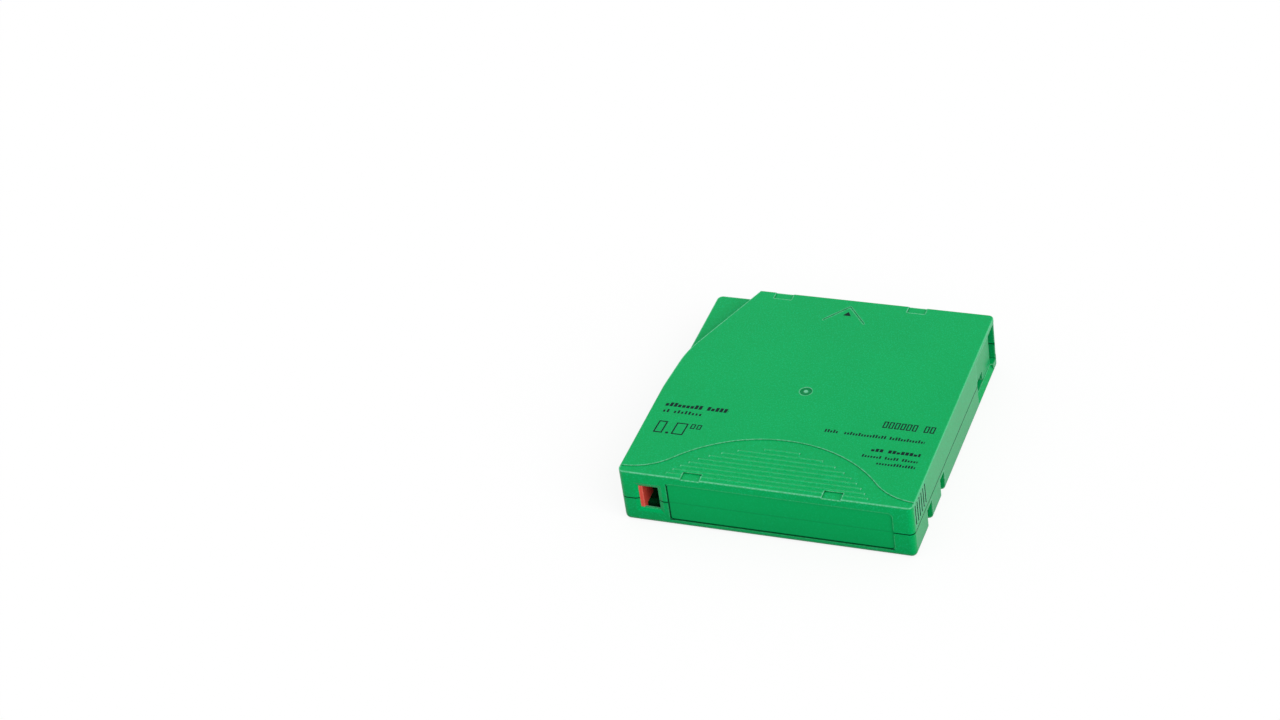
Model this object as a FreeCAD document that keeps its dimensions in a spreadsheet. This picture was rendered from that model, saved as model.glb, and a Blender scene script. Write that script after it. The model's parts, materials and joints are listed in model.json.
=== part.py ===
import FreeCAD, Part
import os
import re
import Sketcher

# A half inch data tape cartridge: two shells, one reel, a sliding door and a red write protect tab.
# Row frame: X to the right (the door side), Y to the front (the end that enters the drive), Z up.
# The origin is at the middle of the base.

# ---------------------------------------------------------------- driving dimensions (mm, degrees)
SIZES = {
    # the case
    "case_width": 102.0,
    "case_length": 105.4,
    "case_height": 21.5,
    "parting_level": 9.9,
    "side_wall": 1.4,
    "top_wall": 1.7,
    "base_wall": 1.9,
    "corner_radius": 2.0,
    "inside_radius": 0.8,
    "base_round": 2.0,
    "top_round": 0.45,
    "seam_height": 0.3,
    "seam_depth": 0.25,
    # insertion guide, the step at the front left corner
    "guide_drop": 4.5,
    "guide_length": 61.4,
    "guide_bend_x": 1.6,
    "guide_bend_back": 38.9,
    "guide_front_x": 16.6,
    "guide_bend_radius": 40.0,
    "guide_wall": 1.0,
    # bell shaped grip field at the rear of the top
    "bell_offset": 0.7,
    "bell_peak": 25.6,
    "bell_radius": 47.7,
    "bell_foot": 3.1,
    "bell_foot_radius": 21.0,
    "bell_depth": 0.3,
    "ridge_count": 9.0,
    "ridge_pitch": 2.23,
    "ridge_first": 2.1,
    "ridge_radius": 0.55,
    "ridge_inset": 5.2,
    # other forms of the outside
    "side_groove_count": 6.0,
    "side_groove_pitch": 2.26,
    "side_groove_first": 2.9,
    "side_groove_width": 0.9,
    "side_groove_depth": 0.8,
    "side_groove_low": 11.9,
    "side_groove_margin": 1.5,
    "notch_width": 6.5,
    "notch_depth": 0.45,
    "notch_left": 22.4,
    "notch_right": 71.4,
    "rear_notch_reach": 3.7,
    "front_notch_reach": 3.6,
    "dimple_radius": 2.15,
    "dimple_depth": 0.35,
    "nub_radius": 0.75,
    "chevron_height": 8.8,
    "chevron_half": 7.5,
    "chevron_margin": 3.6,
    "chevron_offset": 0.7,
    "chevron_stroke": 0.75,
    "chevron_depth": 0.2,
    "hold_depth": 2.0,
    "hold_level": 8.3,
    "hold_rear": 15.0,
    "hold_rear_width": 5.7,
    "hold_front": 30.8,
    "hold_front_width": 5.0,
    "label_left": 16.7,
    "label_right": 7.1,
    "label_low": 2.6,
    "label_margin": 3.5,
    "label_depth": 0.4,
    "label_corner": 1.6,
    # write protect window and tab
    "window_left": 6.5,
    "window_width": 7.0,
    "window_low": 6.2,
    "window_margin": 6.0,
    "window_corner": 0.3,
    "window_bevel": 1.4,
    "window_bevel_depth": 0.6,
    "tab_width": 1.4,
    "tab_recess": 0.5,
    "tab_reach": 7.0,
    "tab_gap": 0.1,
    "tab_end_gap": 0.25,
    "tab_travel": 5.0,
    "tab_foot_width": 4.4,
    "tab_foot_height": 1.3,
    "tab_foot_length": 3.0,
    "tab_web_length": 1.4,
    "sensing_width": 3.4,
    "sensing_length": 1.8,
    # door and the pin channel under it
    "door_opening": 24.4,
    "door_thick": 1.2,
    "door_gap": 0.15,
    "door_tail": 5.5,
    "door_end_gap": 3.4,
    "door_travel": 19.0,
    "door_tab_length": 9.6,
    "channel_low": 3.9,
    "channel_high": 7.9,
    "channel_depth": 3.0,
    "post_inset": 0.3,
    "post_low": 5.4,
    "sill_slope": 1.3,
    "sill_slope_low": 1.7,
    "sill_slope_end": 5.2,
    "rail_height": 1.2,
    "rail_thick": 0.8,
    "door_spring_radius": 0.75,
    "door_spring_wire": 0.26,
    "door_spring_turns": 22.0,
    "door_spring_level": 13.0,
    "door_spring_length": 36.1,
    "ledge_thick": 0.8,
    # reel
    "reel_from_left": 2.3,
    "reel_from_right": 4.7,
    "reel_from_rear": 4.9,
    "reel_from_front": 5.5,
    "reel_rest": 3.0,
    "reel_headroom": 2.05,
    "rest_gap": 0.05,
    "flange_thick": 0.9,
    "tape_float": 0.15,
    "pack_margin": 0.6,
    "hub_radius": 22.0,
    "hub_wall": 2.2,
    "weld_step": 0.3,
    "hub_base": 5.0,
    "hub_base_thick": 1.6,
    "skirt_radius": 20.7,
    "skirt_wall": 1.0,
    "skirt_low": 1.2,
    "opening_gap": 0.5,
    "rim_width": 2.0,
    "tooth_count": 60.0,
    "drive_radius": 19.3,
    "drive_length": 3.8,
    "drive_height": 1.5,
    "drive_base": 1.3,
    "tooth_tip": 0.35,
    "washer_radius": 13.5,
    "washer_bore": 5.0,
    "washer_thick": 0.6,
    # brake and its release
    "brake_inner": 14.5,
    "brake_outer": 18.0,
    "brake_base": 1.0,
    "brake_tip": 0.25,
    "brake_height": 1.4,
    "brake_gap": 0.1,
    "pad_height": 1.0,
    "pad_angle": 24.0,
    "disc_radius": 18.8,
    "disc_thick": 1.4,
    "boss_radius": 7.0,
    "boss_room": 4.4,
    "nose_radius": 4.0,
    "key_length": 9.2,
    "key_width": 1.9,
    "key_gap": 0.1,
    "key_engaged": 2.3,
    "brake_travel": 2.5,
    "plate_gap": 0.05,
    "plate_radius": 11.5,
    "plate_thick": 0.8,
    "leg_width": 4.8,
    "leg_outer": 18.3,
    "leg_length": 2.2,
    "leg_low": 3.6,
    "leg_gap": 0.25,
    "leg_relief": 1.15,
    "brake_spring_radius": 9.0,
    "brake_spring_wire": 0.7,
    "brake_spring_turns": 5.0,
    # leader pin, its clip and its spring
    "pin_from_right": 7.0,
    "pin_from_front": 9.4,
    "pin_radius": 1.2,
    "pin_beyond": 1.625,
    "pin_head_radius": 2.4,
    "pin_head_thick": 1.0,
    "pin_seat_gap": 0.1,
    "pin_seat_wall": 0.9,
    "pin_seat_height": 1.2,
    "clip_thick": 0.6,
    "clip_slot": 1.3,
    "leader_thick": 0.12,
    "leaf_thick": 0.3,
    "leaf_width": 2.2,
    "leaf_back": 6.0,
    # screws
    "screw_inset_x": 6.2,
    "rear_screw_left_y": 14.0,
    "rear_screw_right_y": 6.6,
    "front_screw_left_x": 8.6,
    "front_screw_right_x": 14.0,
    "front_screw_y": 4.1,
    "boss_wall_radius": 3.0,
    "screw_radius": 1.2,
    "screw_head_radius": 2.3,
    "screw_head_thick": 1.3,
    "screw_sink": 0.8,
    "screw_length": 9.5,
    "driver_slot": 0.6,
    "driver_reach": 1.5,
    # corner baffles that keep the reel clear of the corners
    "baffle_gap": 1.0,
    "baffle_thick": 1.0,
    "baffle_span": 30.0,
    # memory board
    "board_from_right": 25.0,
    "board_length": 13.0,
    "board_width": 9.2,
    "board_thick": 0.6,
    "board_low": 2.4,
    "board_rear": 9.4,
    "board_tilt": 45.0,
    "cheek_thick": 1.0,
    "cheek_gap": 0.1,
    "chip_width": 3.2,
    "chip_thick": 0.7,
    "antenna_margin": 0.7,
    "antenna_band": 1.2,
    "antenna_thick": 0.1,
}

# ---------------------------------------------------------------- values worked out from the sizes
DERIVED = {
    "left": "-case_width / 2",
    "right": "case_width / 2",
    "rear": "-case_length / 2",
    "front": "case_length / 2",
    "ceiling": "case_height - top_wall",
    "in_top": "ceiling + top_wall / 2",
    "in_base": "base_wall / 2",
    "bell_x": "bell_offset",
    "chevron_x": "bell_x - chevron_offset",
    "bell_level": "case_height - bell_depth",
    "bell_centre_y": "rear + bell_peak - bell_radius",
    "foot_centre_y": "rear + bell_foot + bell_foot_radius",
    "foot_rise": "foot_centre_y - bell_centre_y",
    "foot_run": "sqrt((bell_radius + bell_foot_radius)^2 - (foot_rise)^2)",
    "foot_share": "bell_radius / (bell_radius + bell_foot_radius)",
    "guide_level": "case_height - guide_drop",
    "guide_start": "front - guide_length",
    "guide_bend": "front - guide_bend_back",
    "guide_lean": "sqrt((guide_front_x - guide_bend_x)^2 + guide_bend_back^2) / guide_bend_back",
    "guide_shift": "guide_wall * guide_lean",
    "label_high": "case_height - label_margin",
    "window_high": "case_height - window_margin",
    "door_front": "case_length - side_wall",
    "door_rear": "door_front - door_opening",
    "door_tab_start": "door_front - door_end_gap - door_tab_length",
    "door_spring_seat": "door_rear - door_tail - door_spring_length",
    "door_outer": "right - side_wall - door_gap",
    "door_inner": "door_outer - door_thick",
    "door_back_end": "rear + door_rear - door_tail",
    "door_front_end": "rear + door_front - door_end_gap",
    "door_top": "ceiling - door_gap",
    "door_low": "channel_low + door_gap",
    "spring_x": "right - side_wall - 2 * door_gap - door_spring_radius - door_spring_wire / 2",
    "width_room": "case_width - reel_from_left - reel_from_right",
    "length_room": "case_length - reel_from_rear - reel_from_front",
    "flange_radius": "min(width_room, length_room) / 2",
    "pack_radius": "flange_radius - pack_margin",
    "axis_x": "(reel_from_left - reel_from_right) / 2",
    "axis_y": "(reel_from_rear - reel_from_front) / 2",
    "tape_space": "ceiling - reel_headroom - 2 * flange_thick - reel_rest",
    "tape_width": "tape_space - 2 * tape_float",
    "flange_low": "reel_rest",
    "tape_floor": "reel_rest + flange_thick",
    "tape_low": "tape_floor + tape_float",
    "tape_middle": "tape_floor + tape_space / 2",
    "flange_high": "tape_floor + tape_space",
    "opening_radius": "skirt_radius + opening_gap",
    "hub_inside": "hub_radius - hub_wall",
    "hub_deck": "hub_base + hub_base_thick",
    "pad_level": "hub_deck + pad_height",
    "disc_low": "pad_level + brake_height + brake_gap",
    "disc_high": "disc_low + disc_thick",
    "boss_top": "ceiling - boss_room",
    "key_low": "boss_top - key_engaged",
    "plate_low": "hub_deck + plate_gap",
    "plate_high": "plate_low + plate_thick",
    "pin_x": "right - pin_from_right",
    "pin_y": "front - pin_from_front",
    "pin_length": "tape_width + 2 * pin_beyond",
    "pin_low": "tape_middle - pin_length / 2",
    "pin_high": "tape_middle + pin_length / 2",
    "seat_radius": "pin_head_radius + pin_seat_gap + pin_seat_wall",
    "clip_radius": "pin_radius + clip_thick",
    "leaf_x": "pin_x + pin_head_radius + pin_seat_gap / 2",
    "leaf_end": "front - side_wall - pin_seat_gap / 2",
    "tab_left": "left + window_left + tab_gap",
    "tab_rear": "rear + side_wall + tab_gap",
    "tab_floor": "base_wall + tab_gap",
    "tab_foot_rear": "tab_rear + tab_gap",
    "tab_foot_front": "tab_foot_rear + tab_foot_length",
    "tab_front": "rear + side_wall + tab_reach",
    "baffle_inner": "flange_radius + baffle_gap",
    "board_x": "right - board_from_right",
    "board_y": "rear + board_rear",
}

doc = FreeCAD.newDocument("tape_cartridge")
sheet = doc.addObject("Spreadsheet::Sheet", "sizes")
for row, (word, number) in enumerate(SIZES.items(), start=1):
    sheet.set(f"A{row}", word)
    sheet.set(f"B{row}", str(number))
    sheet.setAlias(f"B{row}", word)
doc.recompute()


# ---------------------------------------------------------------- helpers
def expand(text):
    """Turn a formula in the words above into one that FreeCAD reads from the sheet."""
    def swap(match):
        word = match.group(0)
        if word in DERIVED:
            return "(" + expand(DERIVED[word]) + ")"
        return "sizes." + word if word in SIZES else word
    return re.sub(r"[a-z][a-z_]*", swap, str(text))


def bind(thing, **formulas):
    """Bind properties to formulas. x, y and z stand for the place of the object."""
    for name, text in formulas.items():
        path = "Placement.Base." + name if name in ("x", "y", "z") else name
        thing.setExpression(path, expand(text))
    return thing


probe = doc.addObject("App::FeaturePython", "probe")
probe.addProperty("App::PropertyFloat", "Number")


def number(text):
    """The present value of a formula, for directions, counts and edge choices."""
    probe.setExpression("Number", expand(text))
    probe.recompute()
    return probe.Number


def block(name, x, y, z):
    """A box between two formulas along each axis."""
    box = doc.addObject("Part::Box", name)
    bind(box, Length=f"({x[1]}) - ({x[0]})", Width=f"({y[1]}) - ({y[0]})", Height=f"({z[1]}) - ({z[0]})")
    return bind(box, x=x[0], y=y[0], z=z[0])


def rod(name, x, y, z, radius):
    """An upright cylinder between two levels."""
    bar = doc.addObject("Part::Cylinder", name)
    return bind(bar, Radius=radius, Height=f"({z[1]}) - ({z[0]})", x=x, y=y, z=z[0])


def bar_along(name, axis, low, high, across, z, radius):
    """A lying cylinder along X or Y. across is its place on the other level axis."""
    bar = doc.addObject("Part::Cylinder", name)
    along = FreeCAD.Vector(1, 0, 0) if axis == "x" else FreeCAD.Vector(0, 1, 0)
    bar.Placement = FreeCAD.Placement(FreeCAD.Vector(), FreeCAD.Rotation(FreeCAD.Vector(0, 0, 1), along))
    bind(bar, Radius=radius, Height=f"({high}) - ({low})", z=z)
    return bind(bar, x=low, y=across) if axis == "x" else bind(bar, x=across, y=low)


def fuse(name, parts):
    """All the parts as one shape."""
    if len(parts) == 1:
        return parts[0]
    joined = doc.addObject("Part::MultiFuse", name)
    joined.Shapes = parts
    joined.Refine = True
    return joined


def cut(name, base, tools):
    """The base without the tools. Tools run 1 mm past the faces they open, so no skin is left."""
    left_over = doc.addObject("Part::Cut", name)
    left_over.Base = base
    left_over.Tool = fuse(name + "_tools", tools)
    left_over.Refine = True
    return left_over


def common(name, parts):
    """What all the parts share."""
    shared = doc.addObject("Part::MultiCommon", name)
    shared.Shapes = parts
    return shared


def ring(name, x, y, z, outer, inner):
    """An upright tube between two levels."""
    past_ends = (f"({z[0]}) - 1", f"({z[1]}) + 1")
    return cut(name, rod(name + "_outside", x, y, z, outer), [rod(name + "_bore", x, y, past_ends, inner)])


def origin_plane(body, role):
    return next(item for item in body.Origin.OriginFeatures if item.Role == role)


def outline(body, name, points, role="XY_Plane"):
    """A closed sketch whose corners are bound to formulas."""
    sketch = body.newObject("Sketcher::SketchObject", name)
    sketch.AttachmentSupport = (origin_plane(body, role), "")
    sketch.MapMode = "FlatFace"
    corners = [FreeCAD.Vector(number(x), number(y), 0) for x, y in points]
    for here, there in zip(corners, corners[1:] + corners[:1]):
        sketch.addGeometry(Part.LineSegment(here, there), False)
    for index, (x, y) in enumerate(points):
        sketch.addConstraint(Sketcher.Constraint("Coincident", index, 2, (index + 1) % len(points), 1))
        for kind, text, value in (("DistanceX", x, corners[index].x), ("DistanceY", y, corners[index].y)):
            place = sketch.addConstraint(Sketcher.Constraint(kind, index, 1, value))
            sketch.setExpression(f"Constraints[{place}]", expand(text))
    return sketch


def plate(name, points, z):
    """A flat sheet of any outline between two levels."""
    body = doc.addObject("PartDesign::Body", name)
    pad = body.newObject("PartDesign::Pad", name + "_pad")
    pad.Profile = outline(body, name + "_outline", points)
    bind(pad, Length=f"({z[1]}) - ({z[0]})")
    bind(body, z=z[0])
    body.Tip = pad
    return body


def round_edges(body, radius, wanted):
    """Round the edges of a body that the test picks out."""
    doc.recompute()
    base = body.Tip
    names = [f"Edge{i}" for i, edge in enumerate(base.Shape.Edges, start=1) if wanted(edge)]
    rounding = body.newObject("PartDesign::Fillet", f"{body.Name}_round_{len(body.Group)}")
    rounding.Base = (base, names)
    bind(rounding, Radius=radius)
    body.Tip = rounding
    return body


def is_upright(edge):
    """True for a straight edge along Z."""
    ends = [vertex.Point for vertex in edge.Vertexes]
    return len(ends) == 2 and ends[0].distanceToLine(ends[1], FreeCAD.Vector(0, 0, 1)) < 1e-6


def rounded_block(name, x, y, z, corner):
    """A box with round upright corners."""
    body = plate(name, [(x[0], y[0]), (x[1], y[0]), (x[1], y[1]), (x[0], y[1])], z)
    return round_edges(body, corner, is_upright)


def case_block(name, inset, z, corner):
    """A round cornered box that keeps one distance from the sides of the case."""
    x = (f"left + {inset}", f"right - {inset}")
    y = (f"rear + {inset}", f"front - {inset}")
    return rounded_block(name, x, y, z, corner)


def rear_panel(name, x, z, reach, corner):
    """A cutter for a round cornered recess in the rear face."""
    y = ("rear - 1", f"rear + {reach}")
    wide = block(name + "_wide", x, y, (f"{z[0]} + {corner}", f"{z[1]} - {corner}"))
    tall = block(name + "_tall", (f"{x[0]} + {corner}", f"{x[1]} - {corner}"), y, z)
    corners = [bar_along(f"{name}_corner_{i}{j}", "y", y[0], y[1], across, level, corner)
               for i, across in enumerate((f"{x[0]} + {corner}", f"{x[1]} - {corner}"))
               for j, level in enumerate((f"{z[0]} + {corner}", f"{z[1]} - {corner}"))]
    return fuse(name, [wide, tall] + corners)


def coil(name, x, y, z, radius, wire, turns):
    """A coil spring that stands between two levels."""
    helix = doc.addObject("Part::Helix", name + "_path")
    rise = f"(({z[1]}) - ({z[0]}) - {wire})"
    bind(helix, Radius=radius, Height=rise, Pitch=f"{rise} / {turns}")
    helix.SegmentLength = 1
    section = doc.addObject("Part::Circle", name + "_wire")
    section.Placement = FreeCAD.Placement(FreeCAD.Vector(), FreeCAD.Rotation(FreeCAD.Vector(1, 0, 0), 90))
    bind(section, Radius=f"{wire} / 2", x=radius)
    spring = doc.addObject("Part::Sweep", name)
    spring.Sections = [section]
    spring.Spine = (helix, [])
    spring.Solid = True
    spring.Frenet = True
    bind(spring, x=x, y=y, z=f"({z[0]}) + {wire} / 2")
    return spring


PIECES = []


def piece(thing, label):
    """Name a finished sub-part and keep it for writing."""
    thing.Label = label
    PIECES.append(thing)
    return thing


# ---------------------------------------------------------------- upper case
def bell_field():
    """Cutter for the grip field: all that lies rearward of a bell shaped line made of three arcs."""
    z = ("bell_level", "case_height + 1")
    strip_y = "bell_centre_y + foot_rise * foot_share"
    strip = block("bell_strip", ("left - 1", "right + 1"), ("rear - 1", strip_y), z)
    feet = []
    for side, sign in (("left", "-"), ("right", "+")):
        x = f"bell_x {sign} foot_run"
        feet.append(rod(f"bell_foot_{side}", x, "foot_centre_y", z, "bell_foot_radius"))
        far = (f"{x} - bell_foot_radius", x) if side == "left" else (x, f"{x} + bell_foot_radius")
        feet.append(block(f"bell_beyond_{side}", far, ("rear + bell_foot", "foot_centre_y"), z))
    skirt = cut("bell_skirt", strip, feet)
    crown = rod("bell_crown", "bell_x", "bell_centre_y", z, "bell_radius")
    return fuse("bell_field", [skirt, crown])


def grip_ridges():
    """Round topped bars whose ends lie on one arc inside the bell."""
    bars = []
    for index in range(int(number("ridge_count"))):
        y = f"rear + ridge_first + {index} * ridge_pitch"
        half = f"sqrt((bell_radius - ridge_inset)^2 - ({y} - bell_centre_y)^2)"
        bars.append(bar_along(f"grip_ridge_{index}", "x", f"bell_x - {half}", f"bell_x + {half}", y,
                              "case_height - ridge_radius", "ridge_radius"))
    return bars


def guide_outline(shift_bend, shift_front):
    """Plan of the insertion guide step, moved inward by the shifts."""
    bend = f"left + guide_bend_x + {shift_bend}"
    end = f"left + guide_front_x + {shift_front}"
    return [("left - 1", "guide_start"), (f"left + {shift_bend}", "guide_start"),
            (bend, "guide_bend"), (end, "front"), (end, "front + 1"), ("left - 1", "front + 1")]


def at_guide_bend(edge):
    """True for the upright edge where the guide step changes direction."""
    y = number("guide_bend")
    return is_upright(edge) and abs(edge.Vertexes[0].Y - y) < 0.01


def chevron():
    """A fine V shaped groove near the front that points into the drive."""
    tip = "front - chevron_margin"
    base = f"{tip} - chevron_height"
    points = [("chevron_x - chevron_half", base), ("chevron_x", tip), ("chevron_x + chevron_half", base),
              ("chevron_x + chevron_half", f"{base} - chevron_stroke"),
              ("chevron_x", f"{tip} - chevron_stroke"),
              ("chevron_x - chevron_half", f"{base} - chevron_stroke")]
    return plate("chevron", points, ("case_height - chevron_depth", "case_height + 1"))


def edge_notches():
    """Shallow notches in the rear and front top edges."""
    cutters = []
    for place in ("left", "right"):
        x = (f"left + notch_{place}", f"left + notch_{place} + notch_width")
        cutters.append(block(f"rear_notch_{place}", x, ("rear - 1", "rear + rear_notch_reach"),
                             ("bell_level - notch_depth", "case_height + 1")))
        cutters.append(block(f"front_notch_{place}", x, ("front - front_notch_reach", "front + 1"),
                             ("case_height - notch_depth", "case_height + 1")))
    return cutters


def side_grooves():
    """Upright finger grooves at the rear of both sides."""
    cutters = []
    for index in range(int(number("side_groove_count"))):
        start = f"rear + side_groove_first + {index} * side_groove_pitch"
        y = (start, f"{start} + side_groove_width")
        z = ("side_groove_low", "case_height - side_groove_margin")
        cutters.append(block(f"groove_right_{index}", ("right - side_groove_depth", "right + 1"), y, z))
        cutters.append(block(f"groove_left_{index}", ("left - 1", "left + side_groove_depth"), y, z))
    return cutters


def window_cutters(shell):
    """The write protect window with its bevelled frame. It spans both shells."""
    x = ("left + window_left", "left + window_left + window_width")
    z = ("window_low", "window_high")
    opening = rear_panel(f"{shell}_window", x, z, "side_wall + 1", "window_corner")
    bevel = doc.addObject("Part::Wedge", f"{shell}_window_frame")
    bind(bevel, Xmin=f"{x[0]} - window_bevel", Xmax=f"{x[1]} + window_bevel", X2min=x[0], X2max=x[1],
         Zmin="window_low - window_bevel", Zmax="window_high + window_bevel",
         Z2min="window_low", Z2max="window_high", Ymin="rear", Ymax="rear + window_bevel_depth")
    return [opening, bevel]


def label_recess(shell):
    """The bare field for a label in the rear face. It spans both shells."""
    x = ("left + label_left", "right - label_right")
    return rear_panel(f"{shell}_label", x, ("label_low", "label_high"),
                      "label_depth", "label_corner")


def baffles(shell, z):
    """Arcs of one ring in three corners, which keep the reel clear of them."""
    whole = ring(f"{shell}_baffle", "axis_x", "axis_y", z, "baffle_inner + baffle_thick", "baffle_inner")
    start = "side_wall / 2"
    west = (f"left + {start}", "left + baffle_span")
    east = ("right - baffle_span", f"right - {start}")
    south = (f"rear + {start}", "rear + baffle_span")
    north = ("front - baffle_span", f"front - {start}")
    fields = [block(f"{shell}_corner_{i}", x, y, z) for i, (x, y) in enumerate(((west, south), (east, south),
                                                                              (west, north)))]
    if shell == "upper":
        fields = fields[:2]
    return common(f"{shell}_baffles", [whole, fuse(f"{shell}_corners", fields)])


# where the four screws stand
SCREW_PLACES = {
    "rear_left": ("left + screw_inset_x", "rear + rear_screw_left_y"),
    "rear_right": ("right - screw_inset_x", "rear + rear_screw_right_y"),
    "front_left": ("left + front_screw_left_x", "front - front_screw_y"),
    "front_right": ("right - front_screw_right_x", "front - front_screw_y"),
}

# the rails that the door slides against, in both shells
RAIL_X = ("door_inner - door_gap - rail_thick", "door_inner - door_gap")
RAIL_Y = ("rear + door_spring_seat", "rear + door_rear")


def cross_bars(name, half_length, half_width, z):
    """Two crossed bars on the reel axis: the key of the brake, or the socket for it."""
    long_x = (f"axis_x - {half_length}", f"axis_x + {half_length}")
    long_y = (f"axis_y - {half_length}", f"axis_y + {half_length}")
    slim_x = (f"axis_x - {half_width}", f"axis_x + {half_width}")
    slim_y = (f"axis_y - {half_width}", f"axis_y + {half_width}")
    return [block(f"{name}_across", long_x, slim_y, z), block(f"{name}_along", slim_x, long_y, z)]


def pin_seat(shell, z):
    """A horseshoe that holds one end of the leader pin and is open to the door."""
    outer = rod(f"{shell}_seat_outside", "pin_x", "pin_y", z, "seat_radius")
    bore = rod(f"{shell}_seat_bore", "pin_x", "pin_y", (f"({z[0]}) - 1", f"({z[1]}) + 1"),
               "pin_head_radius + pin_seat_gap")
    mouth = block(f"{shell}_seat_mouth", ("pin_x", "right"), ("pin_y - seat_radius", "pin_y + seat_radius"),
                  (f"({z[0]}) - 1", f"({z[1]}) + 1"))
    return cut(f"{shell}_seat", outer, [bore, mouth])


def upper_case():
    blank = case_block("upper_blank", "0", ("parting_level", "case_height"), "corner_radius")
    height = number("case_height - parting_level")
    round_edges(blank, "top_round", lambda edge: all(abs(v.Z - height) < 1e-6 for v in edge.Vertexes))
    hollow = case_block("upper_hollow", "side_wall", ("parting_level - 1", "ceiling"), "inside_radius")
    guide_inside = plate("guide_inside", guide_outline("guide_wall", "guide_shift"),
                         ("guide_level - top_wall", "case_height"))
    guide_outside = plate("guide_outside", guide_outline("0", "0"), ("guide_level", "case_height + 1"))
    for body in (guide_inside, guide_outside):
        round_edges(body, "guide_bend_radius", at_guide_bend)
    seam = cut("seam", case_block("seam_outside", "-1", ("parting_level", "parting_level + seam_height"),
                                  "corner_radius"),
               [case_block("seam_inside", "seam_depth", ("parting_level - 1", "case_height"),
                           "corner_radius - seam_depth")])
    z_door = ("parting_level - 1", "ceiling")
    doorway = block("upper_doorway", ("right - side_wall - 1", "right + 1"),
                    ("rear + door_rear", "rear + door_front"), z_door)
    post_face = block("upper_post_face", ("right - post_inset", "right + 1"),
                      ("rear + door_front", "front + 1"), z_door)
    dimple = ring("dimple", "axis_x", "axis_y", ("case_height - dimple_depth", "case_height + 1"),
                  "dimple_radius", "nub_radius")
    hollow = cut("upper_room", hollow, [guide_inside])
    cutters = [hollow, guide_outside, seam, doorway, post_face, dimple, bell_field(), chevron(),
               label_recess("upper")]
    shell = cut("upper_shell", blank, cutters + side_grooves() + window_cutters("upper"))

    z_boss = ("parting_level", "in_top")
    z_low_boss = ("parting_level", "guide_level - top_wall / 2")
    bosses = []
    for place, (x, y) in SCREW_PLACES.items():
        z = z_low_boss if place == "front_left" else z_boss
        bosses.append(rod(f"upper_boss_{place}", x, y, z, "boss_wall_radius"))
    keys = cross_bars("key", "(key_length / 2)", "(key_width / 2)", ("key_low", "in_top"))
    rail = block("upper_rail", RAIL_X, RAIL_Y, ("ceiling - rail_height", "in_top"))
    ledges = []
    for name, low in (("under", "door_spring_level - door_spring_radius - door_spring_wire - ledge_thick"),
                      ("over", "door_spring_level + door_spring_radius + door_spring_wire")):
        ledges.append(block(f"spring_ledge_{name}", ("door_inner", "right - side_wall / 2"),
                            ("rear + door_spring_seat", "door_back_end - door_travel - door_gap"),
                            (low, f"{low} + ledge_thick")))
    stop = block("spring_stop", ("spring_x - door_spring_radius", "right - side_wall / 2"),
                 ("rear + door_spring_seat - ledge_thick", "rear + door_spring_seat"),
                 ("door_spring_level - door_spring_radius - door_spring_wire - ledge_thick",
                  "door_spring_level + door_spring_radius + door_spring_wire + ledge_thick"))
    seat = pin_seat("upper", ("pin_high - pin_seat_height", "in_top"))
    roof = rod("upper_seat_roof", "pin_x", "pin_y", ("pin_high + pin_seat_gap", "in_top"), "seat_radius")
    arcs = baffles("upper", ("parting_level", "in_top"))
    adders = bosses + keys + ledges + [rail, stop, seat, roof, arcs]
    whole = fuse("upper_whole", [shell] + adders + grip_ridges())
    z_pilot = ("parting_level - 1", "screw_sink + screw_length")
    pilots = [rod(f"upper_pilot_{place}", x, y, z_pilot, "screw_radius")
              for place, (x, y) in SCREW_PLACES.items()]
    piece(cut("upper_case", whole, pilots + edge_notches()), "upper_case")


# ---------------------------------------------------------------- lower case
# the picker notches: name, where each starts along Y, and its width
HOLD_NOTCHES = (
    ("rear", "rear + hold_rear", "hold_rear_width"),
    ("front", "rear + hold_front", "hold_front_width"),
)


def picker_notches():
    """The notches low in both sides, and the walls that close them off inside."""
    holes = []
    walls = []
    for name, start, width in HOLD_NOTCHES:
        y = (start, f"{start} + {width}")
        y_wall = (f"{start} - side_wall", f"{start} + {width} + side_wall")
        z = ("-1", "hold_level")
        z_wall = ("in_base", "parting_level")
        holes.append(block(f"hold_{name}_right", ("right - hold_depth", "right + 1"), y, z))
        holes.append(block(f"hold_{name}_left", ("left - 1", "left + hold_depth"), y, z))
        x_right = ("right - hold_depth - side_wall", "right - side_wall / 2")
        x_left = ("left + side_wall / 2", "left + hold_depth + side_wall")
        walls.append(block(f"hold_wall_{name}_right", x_right, y_wall, z_wall))
        walls.append(block(f"hold_wall_{name}_left", x_left, y_wall, z_wall))
    return holes, walls


def sill_slope():
    """The bevel that leads down and out from the pin channel to the side."""
    wedge = doc.addObject("Part::Wedge", "sill_slope_cutter")
    wedge.Placement = FreeCAD.Placement(FreeCAD.Vector(), FreeCAD.Rotation(FreeCAD.Vector(1, 0, 0), 90))
    return bind(wedge, Xmin="right", Xmax="right + 1", X2min="right - sill_slope", X2max="right + 1",
                Ymin="sill_slope_low", Ymax="channel_low", Zmin="sill_slope_end - front",
                Zmax="-rear - door_rear", Z2min="sill_slope_end - front", Z2max="-rear - door_rear")


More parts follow.
